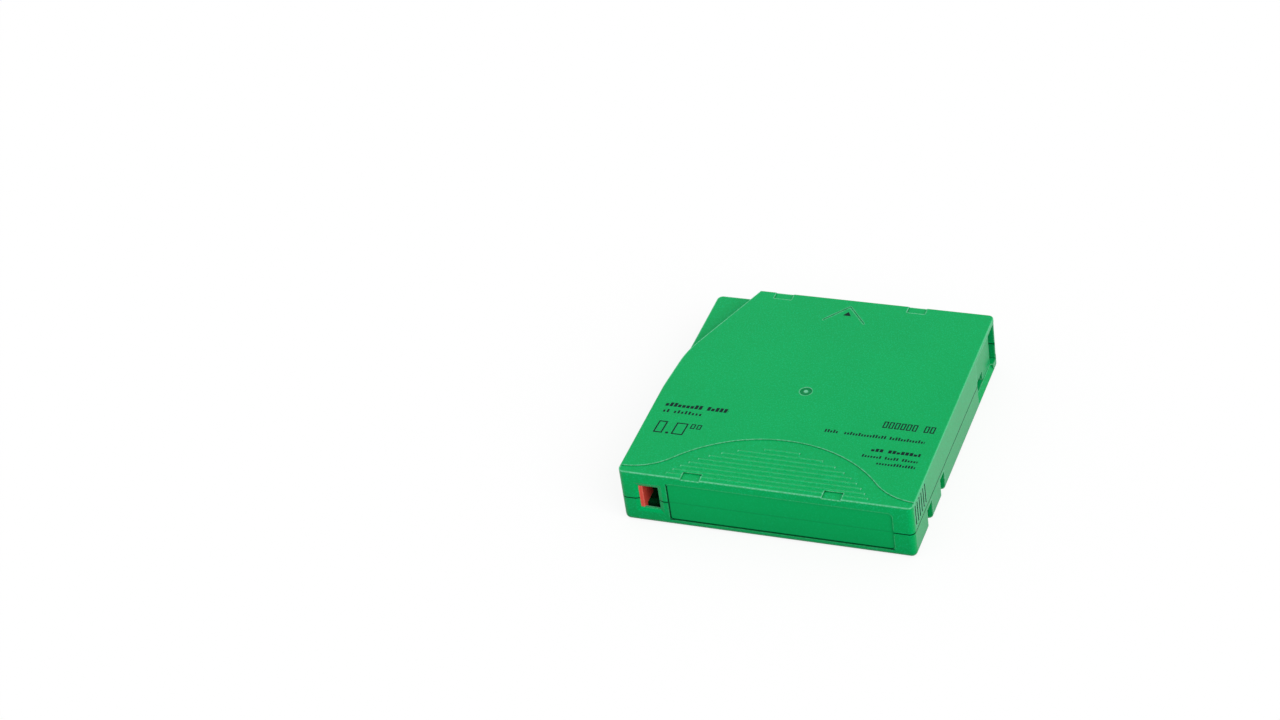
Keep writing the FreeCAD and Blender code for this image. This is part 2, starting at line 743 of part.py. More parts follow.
def lower_case():
    blank = case_block("lower_blank", "0", ("0", "parting_level"), "corner_radius")
    round_edges(blank, "base_round", lambda edge: all(abs(v.Z) < 1e-6 for v in edge.Vertexes))
    hollow = case_block("lower_hollow", "side_wall", ("base_wall", "parting_level + 1"), "inside_radius")
    doorway = block("lower_doorway", ("right - side_wall - 1", "right + 1"),
                    ("rear + door_rear", "rear + door_front"), ("channel_low", "parting_level + 1"))
    channel = block("pin_channel", ("right - channel_depth", "right + 1"),
                    ("rear + door_rear", "rear + door_front"), ("channel_low", "channel_high"))
    post_face = block("lower_post_face", ("right - post_inset", "right + 1"),
                      ("rear + door_front", "front + 1"), ("post_low", "parting_level + 1"))
    holes, walls = picker_notches()
    z_walls = ("in_base", "parting_level")
    bosses = [rod(f"lower_boss_{place}", x, y, z_walls, "boss_wall_radius + screw_sink")
              for place, (x, y) in SCREW_PLACES.items()]
    z_rim = ("in_base", "reel_rest - rest_gap")
    rim = rod("rest_rim", "axis_x", "axis_y", z_rim, "opening_radius + rim_width")
    rail = block("lower_rail", RAIL_X, RAIL_Y, ("in_base", "door_low + rail_height"))
    sill = block("door_sill", ("door_inner - door_gap - rail_thick", "right - side_wall / 2"),
                 ("door_back_end - door_travel", "rear + door_front"), ("in_base", "channel_low"))
    seat = pin_seat("lower", ("in_base", "pin_low + pin_seat_height"))
    z_pad = ("in_base", "pin_low - pin_seat_gap")
    floor_pad = rod("lower_seat_floor", "pin_x", "pin_y", z_pad, "seat_radius")
    fence = block("tab_fence", ("left + side_wall / 2", "left + window_left + window_width + tab_travel"),
                  ("tab_foot_front + tab_gap", "tab_foot_front + tab_gap + side_wall"),
                  ("in_base", "tab_floor + tab_foot_height"))
    cheeks = []
    for name, low, high in (("near", "board_x - cheek_gap - cheek_thick", "board_x - cheek_gap"),
                            ("far", "board_x + board_length + cheek_gap",
                             "board_x + board_length + cheek_gap + cheek_thick")):
        y_cheek = ("rear + side_wall / 2", "board_y + board_thick")
        z_cheek = ("in_base", "parting_level - side_wall")
        cheeks.append(block(f"board_cheek_{name}", (low, high), y_cheek, z_cheek))
    shell = cut("lower_shell", blank, [hollow, label_recess("lower")] + window_cutters("lower"))
    arcs = baffles("lower", z_walls)
    inside = [rim, rail, sill, seat, floor_pad, fence, arcs]
    whole = fuse("lower_whole", [shell] + inside + walls + bosses + cheeks)
    screw_holes = []
    for place, (x, y) in SCREW_PLACES.items():
        screw_holes.append(rod(f"lower_hole_{place}", x, y, ("-1", "parting_level + 1"), "screw_radius"))
        screw_holes.append(rod(f"counterbore_{place}", x, y, ("-1", "screw_sink + screw_head_thick"),
                               "screw_head_radius"))
    chuck = rod("chuck_opening", "axis_x", "axis_y", ("-1", "parting_level"), "opening_radius")
    sensing = block("sensing_hole", ("tab_left + tab_foot_width / 2 - sensing_width / 2",
                                     "tab_left + tab_foot_width / 2 + sensing_width / 2"),
                    ("tab_foot_rear + sensing_length / 2", "tab_foot_rear + sensing_length * 3 / 2"),
                    ("-1", "base_wall + 1"))
    cuts = [chuck, sensing, doorway, channel, post_face, sill_slope()]
    piece(cut("lower_case", whole, holes + screw_holes + cuts), "lower_case")


def case_screws():
    screws = []
    for place, (x, y) in SCREW_PLACES.items():
        head_low = "screw_sink"
        head_high = "screw_sink + screw_head_thick"
        shank = rod(f"shank_{place}", x, y, (head_low, f"{head_low} + screw_length"), "screw_radius")
        head = rod(f"head_{place}", x, y, (head_low, head_high), "screw_head_radius")
        half = "driver_reach"
        z = (f"{head_low} - 1", f"{head_low} + driver_slot")
        slots = [block(f"cross_x_{place}", (f"{x} - {half}", f"{x} + {half}"),
                       (f"{y} - driver_slot / 2", f"{y} + driver_slot / 2"), z),
                 block(f"cross_y_{place}", (f"{x} - driver_slot / 2", f"{x} + driver_slot / 2"),
                       (f"{y} - {half}", f"{y} + {half}"), z)]
        screws.append(cut(f"screw_{place}", fuse(f"screw_body_{place}", [shank, head]), slots))
    group = doc.addObject("Part::Compound", "case_screws")
    group.Links = screws
    piece(group, "case_screws")


# ---------------------------------------------------------------- door
def door():
    x = ("door_inner", "door_outer")
    panel = block("door_panel", x, ("door_back_end", "door_front_end"), ("channel_high", "door_top"))
    tail = block("door_foot", x, ("door_back_end", "rear + door_rear - door_gap"),
                 ("door_low", "channel_high"))
    tab = block("door_tab", x, ("rear + door_tab_start", "door_front_end"), ("door_low", "channel_high"))
    piece(fuse("door", [panel, tail, tab]), "door")


def door_spring():
    """A fine coil that lies along the side wall and pushes the door to the front."""
    low = "rear + door_spring_seat"
    high = "door_back_end"
    spring = coil("door_spring", "0", "0", ("0", f"({high}) - ({low})"), "door_spring_radius",
                  "door_spring_wire", "door_spring_turns")
    spring.Placement = FreeCAD.Placement(FreeCAD.Vector(), FreeCAD.Rotation(FreeCAD.Vector(1, 0, 0), -90))
    bind(spring, x="spring_x", y=f"{low} + door_spring_wire / 2", z="door_spring_level")
    piece(spring, "door_spring")


# ---------------------------------------------------------------- write protect tab
def write_protect_tab():
    x_rib = ("tab_left", "tab_left + tab_width")
    rib = block("tab_rib", x_rib, ("rear + tab_recess", "tab_front"),
                ("window_low + tab_end_gap", "window_high - tab_end_gap"))
    web = block("tab_web", x_rib, ("tab_foot_rear", "tab_foot_rear + tab_web_length"),
                ("tab_floor", "window_low + tab_width"))
    foot = block("tab_foot", ("tab_left", "tab_left + tab_foot_width"), ("tab_foot_rear", "tab_foot_front"),
                 ("tab_floor", "tab_floor + tab_foot_height"))
    piece(fuse("write_protect_tab", [rib, web, foot]), "write_protect_tab")


# ---------------------------------------------------------------- memory
def memory():
    turn = FreeCAD.Rotation(FreeCAD.Vector(1, 0, 0), 180 - number("board_tilt"))

    def lay(name, x, along, lift):
        """A box on the tilted board: x span, span along the slope, span off its face."""
        box = doc.addObject("Part::Box", name)
        box.Placement = FreeCAD.Placement(FreeCAD.Vector(), turn)
        bind(box, Length=f"({x[1]}) - ({x[0]})", Width=f"({along[1]}) - ({along[0]})",
             Height=f"({lift[1]}) - ({lift[0]})")
        c, s = "cos(board_tilt * 1 deg)", "sin(board_tilt * 1 deg)"
        return bind(box, x=f"board_x + {x[0]}", y=f"board_y - ({along[0]}) * {c} - ({lift[0]}) * {s}",
                    z=f"board_low + ({along[0]}) * {s} - ({lift[0]}) * {c}")

    face = "board_thick"
    piece(lay("memory_board", ("0", "board_length"), ("0", "board_width"), ("0", face)), "memory_board")
    chip_x = "board_length / 2 - chip_width / 2"
    chip_y = "board_width / 2 - chip_width / 2"
    piece(lay("memory_chip", (chip_x, f"{chip_x} + chip_width"), (chip_y, f"{chip_y} + chip_width"),
              (face, f"{face} + chip_thick")), "memory_chip")
    edge = "antenna_margin"
    inner = "(antenna_margin + antenna_band)"
    outside = lay("antenna_outside", (edge, f"board_length - {edge}"), (edge, f"board_width - {edge}"),
                  (face, f"{face} + antenna_thick"))
    inside = lay("antenna_inside", (inner, f"board_length - {inner}"), (inner, f"board_width - {inner}"),
                 (f"{face} - 1", f"{face} + 1"))
    piece(cut("memory_antenna", outside, [inside]), "memory_antenna")


# ---------------------------------------------------------------- reel
# the three legs of the release plate stand between the three brake pads of the hub
LEG_ANGLES = (0, 120, 240)
PAD_ANGLES = (60, 180, 300)


def about_z(degrees):
    return FreeCAD.Rotation(FreeCAD.Vector(0, 0, 1), degrees)


def tooth_ring(name, inner, outer, height, base, tip, upward, phase, level):
    """A ring of radial teeth, made as one tooth and a polar pattern, with their roots at one level."""
    body = doc.addObject("PartDesign::Body", name)
    sign = "" if upward else "-"
    corners = [(f"-({base}) / 2", "0"), (f"({base}) / 2", "0"), (f"({tip}) / 2", f"{sign}({height})"),
               (f"-({tip}) / 2", f"{sign}({height})")]
    sketch = outline(body, name + "_tooth", corners, "YZ_Plane")
    sketch.setExpression(".AttachmentOffset.Base.z", expand(inner))
    pad = body.newObject("PartDesign::Pad", name + "_pad")
    pad.Profile = sketch
    bind(pad, Length=f"({outer}) - ({inner})")
    doc.recompute()
    pattern = body.newObject("PartDesign::PolarPattern", name + "_pattern")
    pattern.Originals = [pad]
    pattern.Axis = (origin_plane(body, "Z_Axis"), [""])
    pattern.Angle = 360.0
    bind(pattern, Occurrences="tooth_count")
    body.Tip = pattern
    body.Placement = FreeCAD.Placement(FreeCAD.Vector(), about_z(phase))
    return bind(body, x="axis_x", y="axis_y", z=level)


def spoke(name, angle, radial, width, z):
    """A block that lies along a radius of the reel at one angle."""
    box = doc.addObject("Part::Box", name)
    box.Placement = FreeCAD.Placement(FreeCAD.Vector(), about_z(angle))
    bind(box, Length=f"({radial[1]}) - ({radial[0]})", Width=width, Height=f"({z[1]}) - ({z[0]})")
    c, s = f"cos({angle} deg)", f"sin({angle} deg)"
    return bind(box, x=f"axis_x + ({radial[0]}) * {c} + ({width}) / 2 * {s}",
                y=f"axis_y + ({radial[0]}) * {s} - ({width}) / 2 * {c}", z=z[0])


def reel():
    at = ("axis_x", "axis_y")
    half_pitch = 180.0 / number("tooth_count")
    flange = rod("lower_flange", *at, ("flange_low", "tape_floor"), "flange_radius")
    wall = rod("hub_outside", *at, ("flange_low", "flange_high"), "hub_radius")
    skirt = rod("hub_skirt", *at, ("skirt_low", "flange_high"), "skirt_radius")
    solid = fuse("hub_solid", [flange, wall, skirt])
    well = rod("hub_well", *at, ("hub_deck", "flange_high + 1"), "hub_inside")
    under = rod("hub_under", *at, ("skirt_low - 1", "hub_base"), "skirt_radius - skirt_wall")
    shell = cut("hub_shell", solid, [well, under])
    drive = tooth_ring("drive_teeth", "drive_radius - drive_length", "drive_radius",
                       "drive_height", "drive_base", "tooth_tip", False, half_pitch, "hub_base")
    gaps = [spoke(f"drive_gap_{i}", angle, ("drive_radius - drive_length - 1", "drive_radius + 1"),
                  "leg_width + 2 * leg_relief", ("skirt_low", "hub_base"))
            for i, angle in enumerate(LEG_ANGLES)]
    drive = cut("drive_ring", drive, gaps)
    brake = tooth_ring("hub_brake_teeth", "brake_inner", "brake_outer", "brake_height", "brake_base",
                       "brake_tip", True, half_pitch, "pad_level")
    base_ring = ring("pad_ring", *at, ("hub_deck", "pad_level"), "brake_outer", "brake_inner")
    field_z = ("hub_deck - 1", "disc_high")
    fields = []
    for index, angle in enumerate(PAD_ANGLES):
        sector = doc.addObject("Part::Cylinder", f"pad_sector_{index}")
        start = angle - number("pad_angle") / 2
        sector.Placement = FreeCAD.Placement(FreeCAD.Vector(), about_z(start))
        bind(sector, Radius="hub_inside", Height=f"({field_z[1]}) - ({field_z[0]})", Angle="pad_angle",
             x="axis_x", y="axis_y", z=field_z[0])
        fields.append(sector)
    pads = common("brake_pads", [fuse("pad_rings", [base_ring, brake]), fuse("pad_sectors", fields)])
    slots = [spoke(f"leg_slot_{i}", angle, ("leg_outer - leg_length - leg_gap", "leg_outer + leg_gap"),
                   "leg_width + 2 * leg_gap", ("hub_base - 1", "hub_deck + 1"))
             for i, angle in enumerate(LEG_ANGLES)]
    piece(cut("reel_hub", fuse("hub_whole", [shell, drive, pads]), slots), "reel_hub")

    piece(ring("upper_flange", *at, ("flange_high", "flange_high + flange_thick"), "flange_radius",
               "hub_inside + weld_step"), "upper_flange")
    piece(ring("hub_washer", *at, ("hub_base - washer_thick", "hub_base"), "washer_radius", "washer_bore"),
          "hub_washer")
    z_tape = ("tape_low", "tape_low + tape_width")
    piece(ring("tape_pack", *at, z_tape, "pack_radius", "hub_radius"), "tape_pack")


# ---------------------------------------------------------------- brake
def brake_parts():
    at = ("axis_x", "axis_y")
    disc = rod("brake_disc", *at, ("disc_low", "disc_high"), "disc_radius")
    boss = rod("brake_boss", *at, ("disc_high", "boss_top"), "boss_radius")
    nose = rod("brake_nose", *at, ("plate_high + brake_gap", "disc_low"), "nose_radius")
    teeth = tooth_ring("brake_teeth", "brake_inner", "brake_outer", "brake_height", "brake_base",
                       "brake_tip", False, 0.0, "disc_low")
    length = "(key_length / 2 + key_gap)"
    width = "(key_width / 2 + key_gap)"
    z = ("key_low - brake_travel - key_gap * 2", "boss_top + 1")
    sockets = cross_bars("socket", length, width, z)
    piece(cut("brake_button", fuse("brake_solid", [disc, boss, nose, teeth]), sockets), "brake_button")
    piece(coil("brake_spring", *at, ("disc_high", "ceiling"), "brake_spring_radius", "brake_spring_wire",
               "brake_spring_turns"), "brake_spring")

    hub = rod("plate_hub", *at, ("plate_low", "plate_high"), "plate_radius")
    arms = []
    for index, angle in enumerate(LEG_ANGLES):
        arms.append(spoke(f"plate_arm_{index}", angle, ("0", "leg_outer"), "leg_width",
                          ("plate_low", "plate_high")))
        arms.append(spoke(f"plate_leg_{index}", angle, ("leg_outer - leg_length", "leg_outer"),
                          "leg_width", ("leg_low", "plate_high")))
    piece(fuse("release_plate", [hub] + arms), "release_plate")


# ---------------------------------------------------------------- leader pin
def leader_parts():
    at = ("pin_x", "pin_y")
    shaft = rod("pin_shaft", *at, ("pin_low", "pin_high"), "pin_radius")
    heads = [rod("pin_head_low", *at, ("pin_low", "pin_low + pin_head_thick"), "pin_head_radius"),
             rod("pin_head_high", *at, ("pin_high - pin_head_thick", "pin_high"), "pin_head_radius")]
    piece(fuse("leader_pin", [shaft] + heads), "leader_pin")

    z = ("tape_low", "tape_low + tape_width")
    tube = ring("clip_tube", *at, z, "clip_radius", "pin_radius")
    slot = block("clip_slot_cut", ("pin_x - clip_radius - 1", "pin_x"), ("pin_y", "pin_y + clip_slot"),
                 ("tape_low - 1", "tape_low + tape_width + 1"))
    piece(cut("pin_clamp", tube, [slot]), "pin_clamp")

    # the free tape runs straight from the foremost side of the pack to the slot of the clip
    run = doc.addObject("PartDesign::Body", "tape_leader")
    start_y = "axis_y + pack_radius + leader_thick"
    end_x = "pin_x - pin_radius"
    end_y = "pin_y + clip_slot / 2"
    points = [("axis_x", start_y), (end_x, end_y), (end_x, f"{end_y} + leader_thick"),
              ("axis_x", f"{start_y} + leader_thick")]
    pad = run.newObject("PartDesign::Pad", "tape_leader_pad")
    pad.Profile = outline(run, "tape_leader_outline", points)
    bind(pad, Length="tape_width")
    run.Tip = pad
    piece(bind(run, z="tape_low"), "tape_leader")

    back = block("leaf_back_strip", ("leaf_x + leaf_thick - leaf_back", "leaf_x + leaf_thick"),
                 ("leaf_end - leaf_thick", "leaf_end"), ("pin_low", "pin_high"))
    fingers = []
    for name, low, high in (("low", "pin_low", "pin_low + leaf_width"),
                            ("high", "pin_high - leaf_width", "pin_high")):
        fingers.append(block(f"leaf_finger_{name}", ("leaf_x", "leaf_x + leaf_thick"),
                             ("pin_y - pin_radius", "leaf_end"), (low, high)))
    piece(fuse("pin_spring", [back] + fingers), "pin_spring")


# ---------------------------------------------------------------- build, check and write
upper_case()
lower_case()
case_screws()
door()
door_spring()
write_protect_tab()
memory()
reel()
brake_parts()
leader_parts()
doc.removeObject(probe.Name)
doc.recompute()

for thing in doc.Objects:
    bad = [state for state in thing.State if state in ("Invalid", "Error")]
    if bad:
        raise RuntimeError(f"{thing.Name} is {bad}")

os.makedirs("parts", exist_ok=True)
for thing in PIECES:
    shape = thing.Shape
    if shape.isNull() or not shape.isValid():
        raise RuntimeError(f"{thing.Label} has no valid shape")
    shape.exportStep(f"parts/{thing.Label}.step")
    box = shape.BoundBox
    print(f"{thing.Label:18s} solids {len(shape.Solids)} volume {shape.Volume:10.1f}"
          f"  x {box.XMin:7.2f} {box.XMax:7.2f}  y {box.YMin:7.2f} {box.YMax:7.2f}"
          f"  z {box.ZMin:6.2f} {box.ZMax:6.2f}")
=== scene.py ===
# %% [markdown]
# # A data tape cartridge
# The object is a flat square cartridge that holds a reel of magnetic tape. Its case is two green
# mouldings, and a red tab, a side door and the reel itself move.
#
# The solids come ready made from the CAD step, already in place and in metres. They could be
# rebuilt here by hand, but then the looks and the mechanism would drift apart, so this file only
# dresses them: materials, wound coil springs, a floor, a lamp and a camera.

# %% Load the solids
import bmesh
import bpy
import json
import math
from mathutils import Matrix, Vector


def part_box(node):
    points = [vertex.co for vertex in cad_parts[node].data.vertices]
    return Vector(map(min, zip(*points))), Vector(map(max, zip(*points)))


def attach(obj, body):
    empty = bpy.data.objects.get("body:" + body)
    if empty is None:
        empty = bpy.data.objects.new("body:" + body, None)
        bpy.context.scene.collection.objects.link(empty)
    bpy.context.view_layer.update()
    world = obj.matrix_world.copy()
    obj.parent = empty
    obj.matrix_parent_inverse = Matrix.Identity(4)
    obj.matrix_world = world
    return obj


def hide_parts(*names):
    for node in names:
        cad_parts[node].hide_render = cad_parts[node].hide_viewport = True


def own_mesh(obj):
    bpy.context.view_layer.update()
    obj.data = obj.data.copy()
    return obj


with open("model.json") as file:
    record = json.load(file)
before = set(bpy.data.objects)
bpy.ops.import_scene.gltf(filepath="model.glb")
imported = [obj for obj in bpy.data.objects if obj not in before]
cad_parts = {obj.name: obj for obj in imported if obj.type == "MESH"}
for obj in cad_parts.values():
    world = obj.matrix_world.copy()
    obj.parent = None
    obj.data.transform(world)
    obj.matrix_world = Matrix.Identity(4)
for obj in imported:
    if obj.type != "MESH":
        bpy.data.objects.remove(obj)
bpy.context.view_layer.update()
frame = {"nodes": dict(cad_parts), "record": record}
nodes = frame["nodes"]
MM = 1000.0         # millimetres in a metre
case_low, case_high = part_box("lower_case")[0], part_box("upper_case")[1]
print("case", [round(MM * size, 1) for size in case_high - case_low], "mm,", len(nodes), "nodes")

# %% [markdown]
# ## Camera
# A product picture of something this small is taken from about a metre away with a long lens, so
# that the edges of the case stay nearly parallel. The camera could be aimed with a constraint, but
# written numbers are easier to read and stay fixed, so it gets a place, three angles and a lens.

# %% Camera
LENS, SENSOR = 83.95, 36.0                      # mm
NEAREST = 0.01                                  # metres
CAMERA_PLACE = (0.29420, -0.74870, 0.64340)     # metres
CAMERA_ANGLES = (52.984, 7.295, 19.921)         # degrees about X, Y and Z

lens_data = bpy.data.cameras.new("camera")
lens_data.lens = LENS
lens_data.sensor_width = SENSOR
lens_data.clip_start = NEAREST
camera = bpy.data.objects.new("camera", lens_data)
camera.location = CAMERA_PLACE
camera.rotation_euler = [math.radians(angle) for angle in CAMERA_ANGLES]
bpy.context.scene.collection.objects.link(camera)
bpy.context.scene.camera = camera
bpy.context.scene.view_settings.view_transform = "Standard"
print("camera", round(camera.location.length, 3), "m away, lens", LENS, "mm")

# %% [markdown]
# ## Small helpers for materials
# A material here is a small graph of nodes. Wiring it node by node takes many lines, so a few
# helpers keep the cells short: they add a node, join sockets, do arithmetic and blend two colours.

# %% Nodes and sockets
MIX_SHARE, MIX_FIRST, MIX_SECOND, MIX_RESULT = 0, 6, 7, 2     # the colour sockets of a Mix node


def feed(tree, socket, value):
    """Link a socket to another one, or give it a plain value."""
    if isinstance(value, bpy.types.NodeSocket):
        tree.links.new(value, socket)
    else:
        socket.default_value = value


def add(tree, kind, settings=None, **inputs):
    """A new node. settings are its own options and inputs are numbers, colours or sockets."""
    node = tree.nodes.new("ShaderNode" + kind)
    for name, value in (settings or {}).items():
        setattr(node, name, value)
    for name, value in inputs.items():
        feed(tree, node.inputs[name.replace("_", " ")], value)
    return node


def blend_colours(tree, share, first, second):
    """Mix two colours by a mask from 0 to 1."""
    node = add(tree, "Mix", {"data_type": "RGBA"})
    feed(tree, node.inputs[MIX_SHARE], share)
    feed(tree, node.inputs[MIX_FIRST], first)
    feed(tree, node.inputs[MIX_SECOND], second)
    return node.outputs[MIX_RESULT]


print("helpers", [helper.__name__ for helper in (feed, add, blend_colours)])


# %% Arithmetic and places
def calc(tree, operation, *values):
    """The result of one Math node."""
    node = add(tree, "Math", {"operation": operation})
    for socket, value in zip(node.inputs, values):
        feed(tree, socket, value)
    return node.outputs[0]


def minus(tree, first, second):
    """The difference of two values."""
    return calc(tree, "SUBTRACT", first, second)


def times(tree, first, *others):
    """The product of all values. For masks, it is the share where all of them meet."""
    for value in others:
        first = calc(tree, "MULTIPLY", first, value)
    return first


def most(tree, first, *others):
    """The largest of all values. For masks, it is where any of them is."""
    for value in others:
        first = calc(tree, "MAXIMUM", first, value)
    return first


def stretch(tree, value, low, high, new_low=0.0, new_high=1.0):
    """Spread the span low to high over a new span, and hold it at the ends."""
    node = add(tree, "MapRange", {"interpolation_type": "SMOOTHSTEP"}, Value=value, From_Min=low,
               From_Max=high, To_Min=new_low, To_Max=new_high)
    return node.outputs[0]


def object_place(tree):
    """The spot on the piece, in metres."""
    return add(tree, "TexCoord").outputs["Object"]


def place_in_mm(tree):
    """The x, y and z of the spot on the piece, in mm."""
    parts = add(tree, "SeparateXYZ", Vector=object_place(tree)).outputs
    return [calc(tree, "MULTIPLY", parts[axis], MM) for axis in "XYZ"]


def noise(tree, scale, **inputs):
    """A cloudy value that wanders scale times in a metre."""
    return add(tree, "TexNoise", Vector=object_place(tree), Scale=scale, **inputs).outputs["Fac"]


print("helpers", [helper.__name__ for helper in (calc, minus, times, most, stretch, noise)])


# %% Node groups
def new_group(name, inputs, outputs):
    """An empty node group with named number inputs and named number outputs."""
    tree = bpy.data.node_groups.new(name, "ShaderNodeTree")
    for title, value in inputs.items():
        socket = tree.interface.new_socket(title, in_out="INPUT", socket_type="NodeSocketFloat")
        socket.default_value = value
    for title in outputs:
        tree.interface.new_socket(title, in_out="OUTPUT", socket_type="NodeSocketFloat")
    given = tree.nodes.new("NodeGroupInput").outputs
    result = tree.nodes.new("NodeGroupOutput").inputs
    print("group", name, "takes", list(inputs), "and gives", list(outputs))
    return tree, given, result


def use_group(tree, group, **inputs):
    """Place a node group in a material."""
    node = tree.nodes.new("ShaderNodeGroup")
    node.node_tree = group
    for name, value in inputs.items():
        feed(tree, node.inputs[name.replace("_", " ")], value)
    return node.outputs


print("helpers", [helper.__name__ for helper in (new_group, use_group)])


# %% Colours
def linear(red, green, blue):
    """A colour as a screen shows it, 0 to 255, as the linear numbers that a shader wants."""
    def channel(value):
        share = value / 255
        return share / 12.92 if share <= 0.04045 else ((share + 0.055) / 1.055) ** 2.4
    return (channel(red), channel(green), channel(blue), 1.0)


def shaded(colour, share):
    """A darker or lighter version of a colour."""
    return tuple(min(1.0, share * part) for part in colour[:3]) + (1.0,)


WHITE = (1.0, 1.0, 1.0, 1.0)
print("middle grey is", [round(part, 3) for part in linear(128, 128, 128)])

# %% [markdown]
# ## Floor
# The cartridge stands on a plain white sweep. A floor could be lit until it burns out to white, but
# that would flood the case too. So the floor is white to the camera and to reflections, and it is
# greyer to the light that bounces off it; close to the case that grey is darker still, a painted
# contact shadow in the bounced light.

# %% Floor paint
BOUNCE = 0.86               # how much light the open floor bounces back
# closer to the case than this the bounce is darker, a painted contact shadow in the bounced light
BOUNCE_RAMP = 0.07          # metres from the case to where it bounces that much
GLOW = 0.86                 # the share of the seen floor that glows, the rest keeps the shadow
OFF_WHITE = (0.985, 0.985, 0.985, 1.0)


def seen_directly(tree):
    """1 where the camera or a mirror like reflection looks, 0 for bounced light."""
    path = add(tree, "LightPath").outputs
    return most(tree, path["Is Camera Ray"], path["Is Glossy Ray"], path["Is Transmission Ray"])


floor_paint = bpy.data.materials.new("floor_paint")
floor_paint.use_nodes = True
tree = floor_paint.node_tree
tree.nodes.clear()
parts = add(tree, "SeparateXYZ", Vector=object_place(tree)).outputs
beside = minus(tree, calc(tree, "ABSOLUTE", parts["X"]), case_high.x)
behind = minus(tree, calc(tree, "ABSOLUTE", parts["Y"]), case_high.y)
# the floor bounces less light close to the case: a painted contact shadow in the bounced light
bounce_and_contact_shadow = stretch(tree, most(tree, beside, behind), 0.0, BOUNCE_RAMP, 0.0, BOUNCE)
bounce_grey_with_contact_shadow = add(tree, "CombineColor", Red=bounce_and_contact_shadow, Green=bounce_and_contact_shadow, Blue=bounce_and_contact_shadow).outputs[0]
mottle = add(tree, "TexNoise", Scale=6.0, Detail=3.0).outputs["Fac"]
white = blend_colours(tree, mottle, OFF_WHITE, WHITE)
seen = seen_directly(tree)
matte = add(tree, "BsdfDiffuse", Color=blend_colours(tree, seen, bounce_grey_with_contact_shadow, white))
glow = add(tree, "Emission", Color=WHITE, Strength=1.0)
surface = add(tree, "MixShader")
ingredients = (times(tree, seen, GLOW), matte.outputs[0], glow.outputs[0])
for socket, value in zip(surface.inputs, ingredients):
    feed(tree, socket, value)
tree.links.new(surface.outputs[0], add(tree, "OutputMaterial").inputs["Surface"])
print("floor paint", len(tree.nodes), "nodes")

# %% Floor sheet
FLOOR_HALF = 4.0            # metres
FLOOR_DROP = -0.0001        # metres below the case, so that the two don't flicker

bm = bmesh.new()
bmesh.ops.create_grid(bm, x_segments=8, y_segments=8, size=FLOOR_HALF)
bmesh.ops.translate(bm, verts=bm.verts, vec=(0, 0, FLOOR_DROP))
floor_mesh = bpy.data.meshes.new("floor")
bm.to_mesh(floor_mesh)
bm.free()
floor_mesh.materials.append(floor_paint)
floor = bpy.data.objects.new("floor", floor_mesh)
bpy.context.scene.collection.objects.link(floor)
print("floor", [round(side, 1) for side in floor.dimensions], "m")

# %% [markdown]
# ## Light
# White walls all round give the case its soft light, and one broad lamp to the right of the camera
# makes the right side the palest. Several area lamps could do it too, but a sky and one broad sun
# are easier to balance, and they light the whole floor evenly.

# %% World
SKY_LIGHT, SKY_SEEN = 0.68, 1.0

world = bpy.data.worlds.new("studio")
bpy.context.scene.world = world
world.use_nodes = True
tree = world.node_tree
tree.nodes.clear()
strength = stretch(tree, seen_directly(tree), 0.0, 1.0, SKY_LIGHT, SKY_SEEN)
sky = add(tree, "Background", Color=WHITE, Strength=strength)
tree.links.new(sky.outputs[0], add(tree, "OutputWorld").inputs["Surface"])
print("world", world.name, "lights with", SKY_LIGHT, "and is seen as", SKY_SEEN)

# %% Lamp
LAMP_STRENGTH = 1.84
LAMP_SPREAD = 50                        # degrees across, so its shadows have no hard edge
LAMP_TOWARDS = (0.66, -0.47, 0.56)      # from the case to the lamp

lamp_data = bpy.data.lights.new("softbox", "SUN")
lamp_data.energy = LAMP_STRENGTH
lamp_data.angle = math.radians(LAMP_SPREAD)
lamp = bpy.data.objects.new("softbox", lamp_data)
lamp.rotation_euler = Vector(LAMP_TOWARDS).to_track_quat("Z", "Y").to_euler()
bpy.context.scene.collection.objects.link(lamp)
print("lamp", lamp.name, "spread", LAMP_SPREAD, "degrees")

# %% [markdown]
# ## Shared effects
# Real mouldings share a few effects: a fine spark eroded grain and cloudy tone from handling.
# Edges are made lighter, partly as rubbing and partly as a painted highlight, and corners and
# grooves get painted shade. Each is a node group, so that one change reaches every material. They
# read the object coordinates, which are metres, so a size in millimetres means the same on every
# piece.

# %% Grain group
COARSER = 3.7               # the coarse grain is this many times larger than the fine one
COARSE_SHARE = 0.35         # of the height
CLOUDS = 38.0               # in a metre
FLECK_SPAN, PIT_SPAN, CLOUD_SPAN = (0.54, 0.66), (0.44, 0.28), (0.3, 0.7)

grain_group, given, result = new_group(
    "Moulded_Grain", {"Grain mm": 0.35}, ("Height", "Flecks", "Pits", "Cloud"))
tree = grain_group
density = calc(tree, "DIVIDE", MM, given["Grain mm"])
grain = noise(tree, density, Detail=2.0, Roughness=0.6)
coarse = noise(tree, calc(tree, "DIVIDE", density, COARSER), Detail=1.0)
cloud = noise(tree, CLOUDS, Detail=3.0, Roughness=0.55)
fine_part = times(tree, grain, 1 - COARSE_SHARE)
feed(tree, result["Height"], calc(tree, "MULTIPLY_ADD", coarse, COARSE_SHARE, fine_part))
feed(tree, result["Flecks"], stretch(tree, grain, *FLECK_SPAN))
feed(tree, result["Pits"], stretch(tree, grain, *PIT_SPAN))
feed(tree, result["Cloud"], stretch(tree, cloud, *CLOUD_SPAN))
print(tree.name, len(tree.nodes), "nodes")

# %% Edge group
EDGE_SPAN, GROOVE_SHADE_SPAN = (0.95, 0.70), (0.78, 0.40)     # shares of open room round a spot
RUB_SPOTS = 1100.0                                      # in a metre
RUB_SPAN = (0.38, 0.58, 0.45, 1.0)
SAMPLES = 8

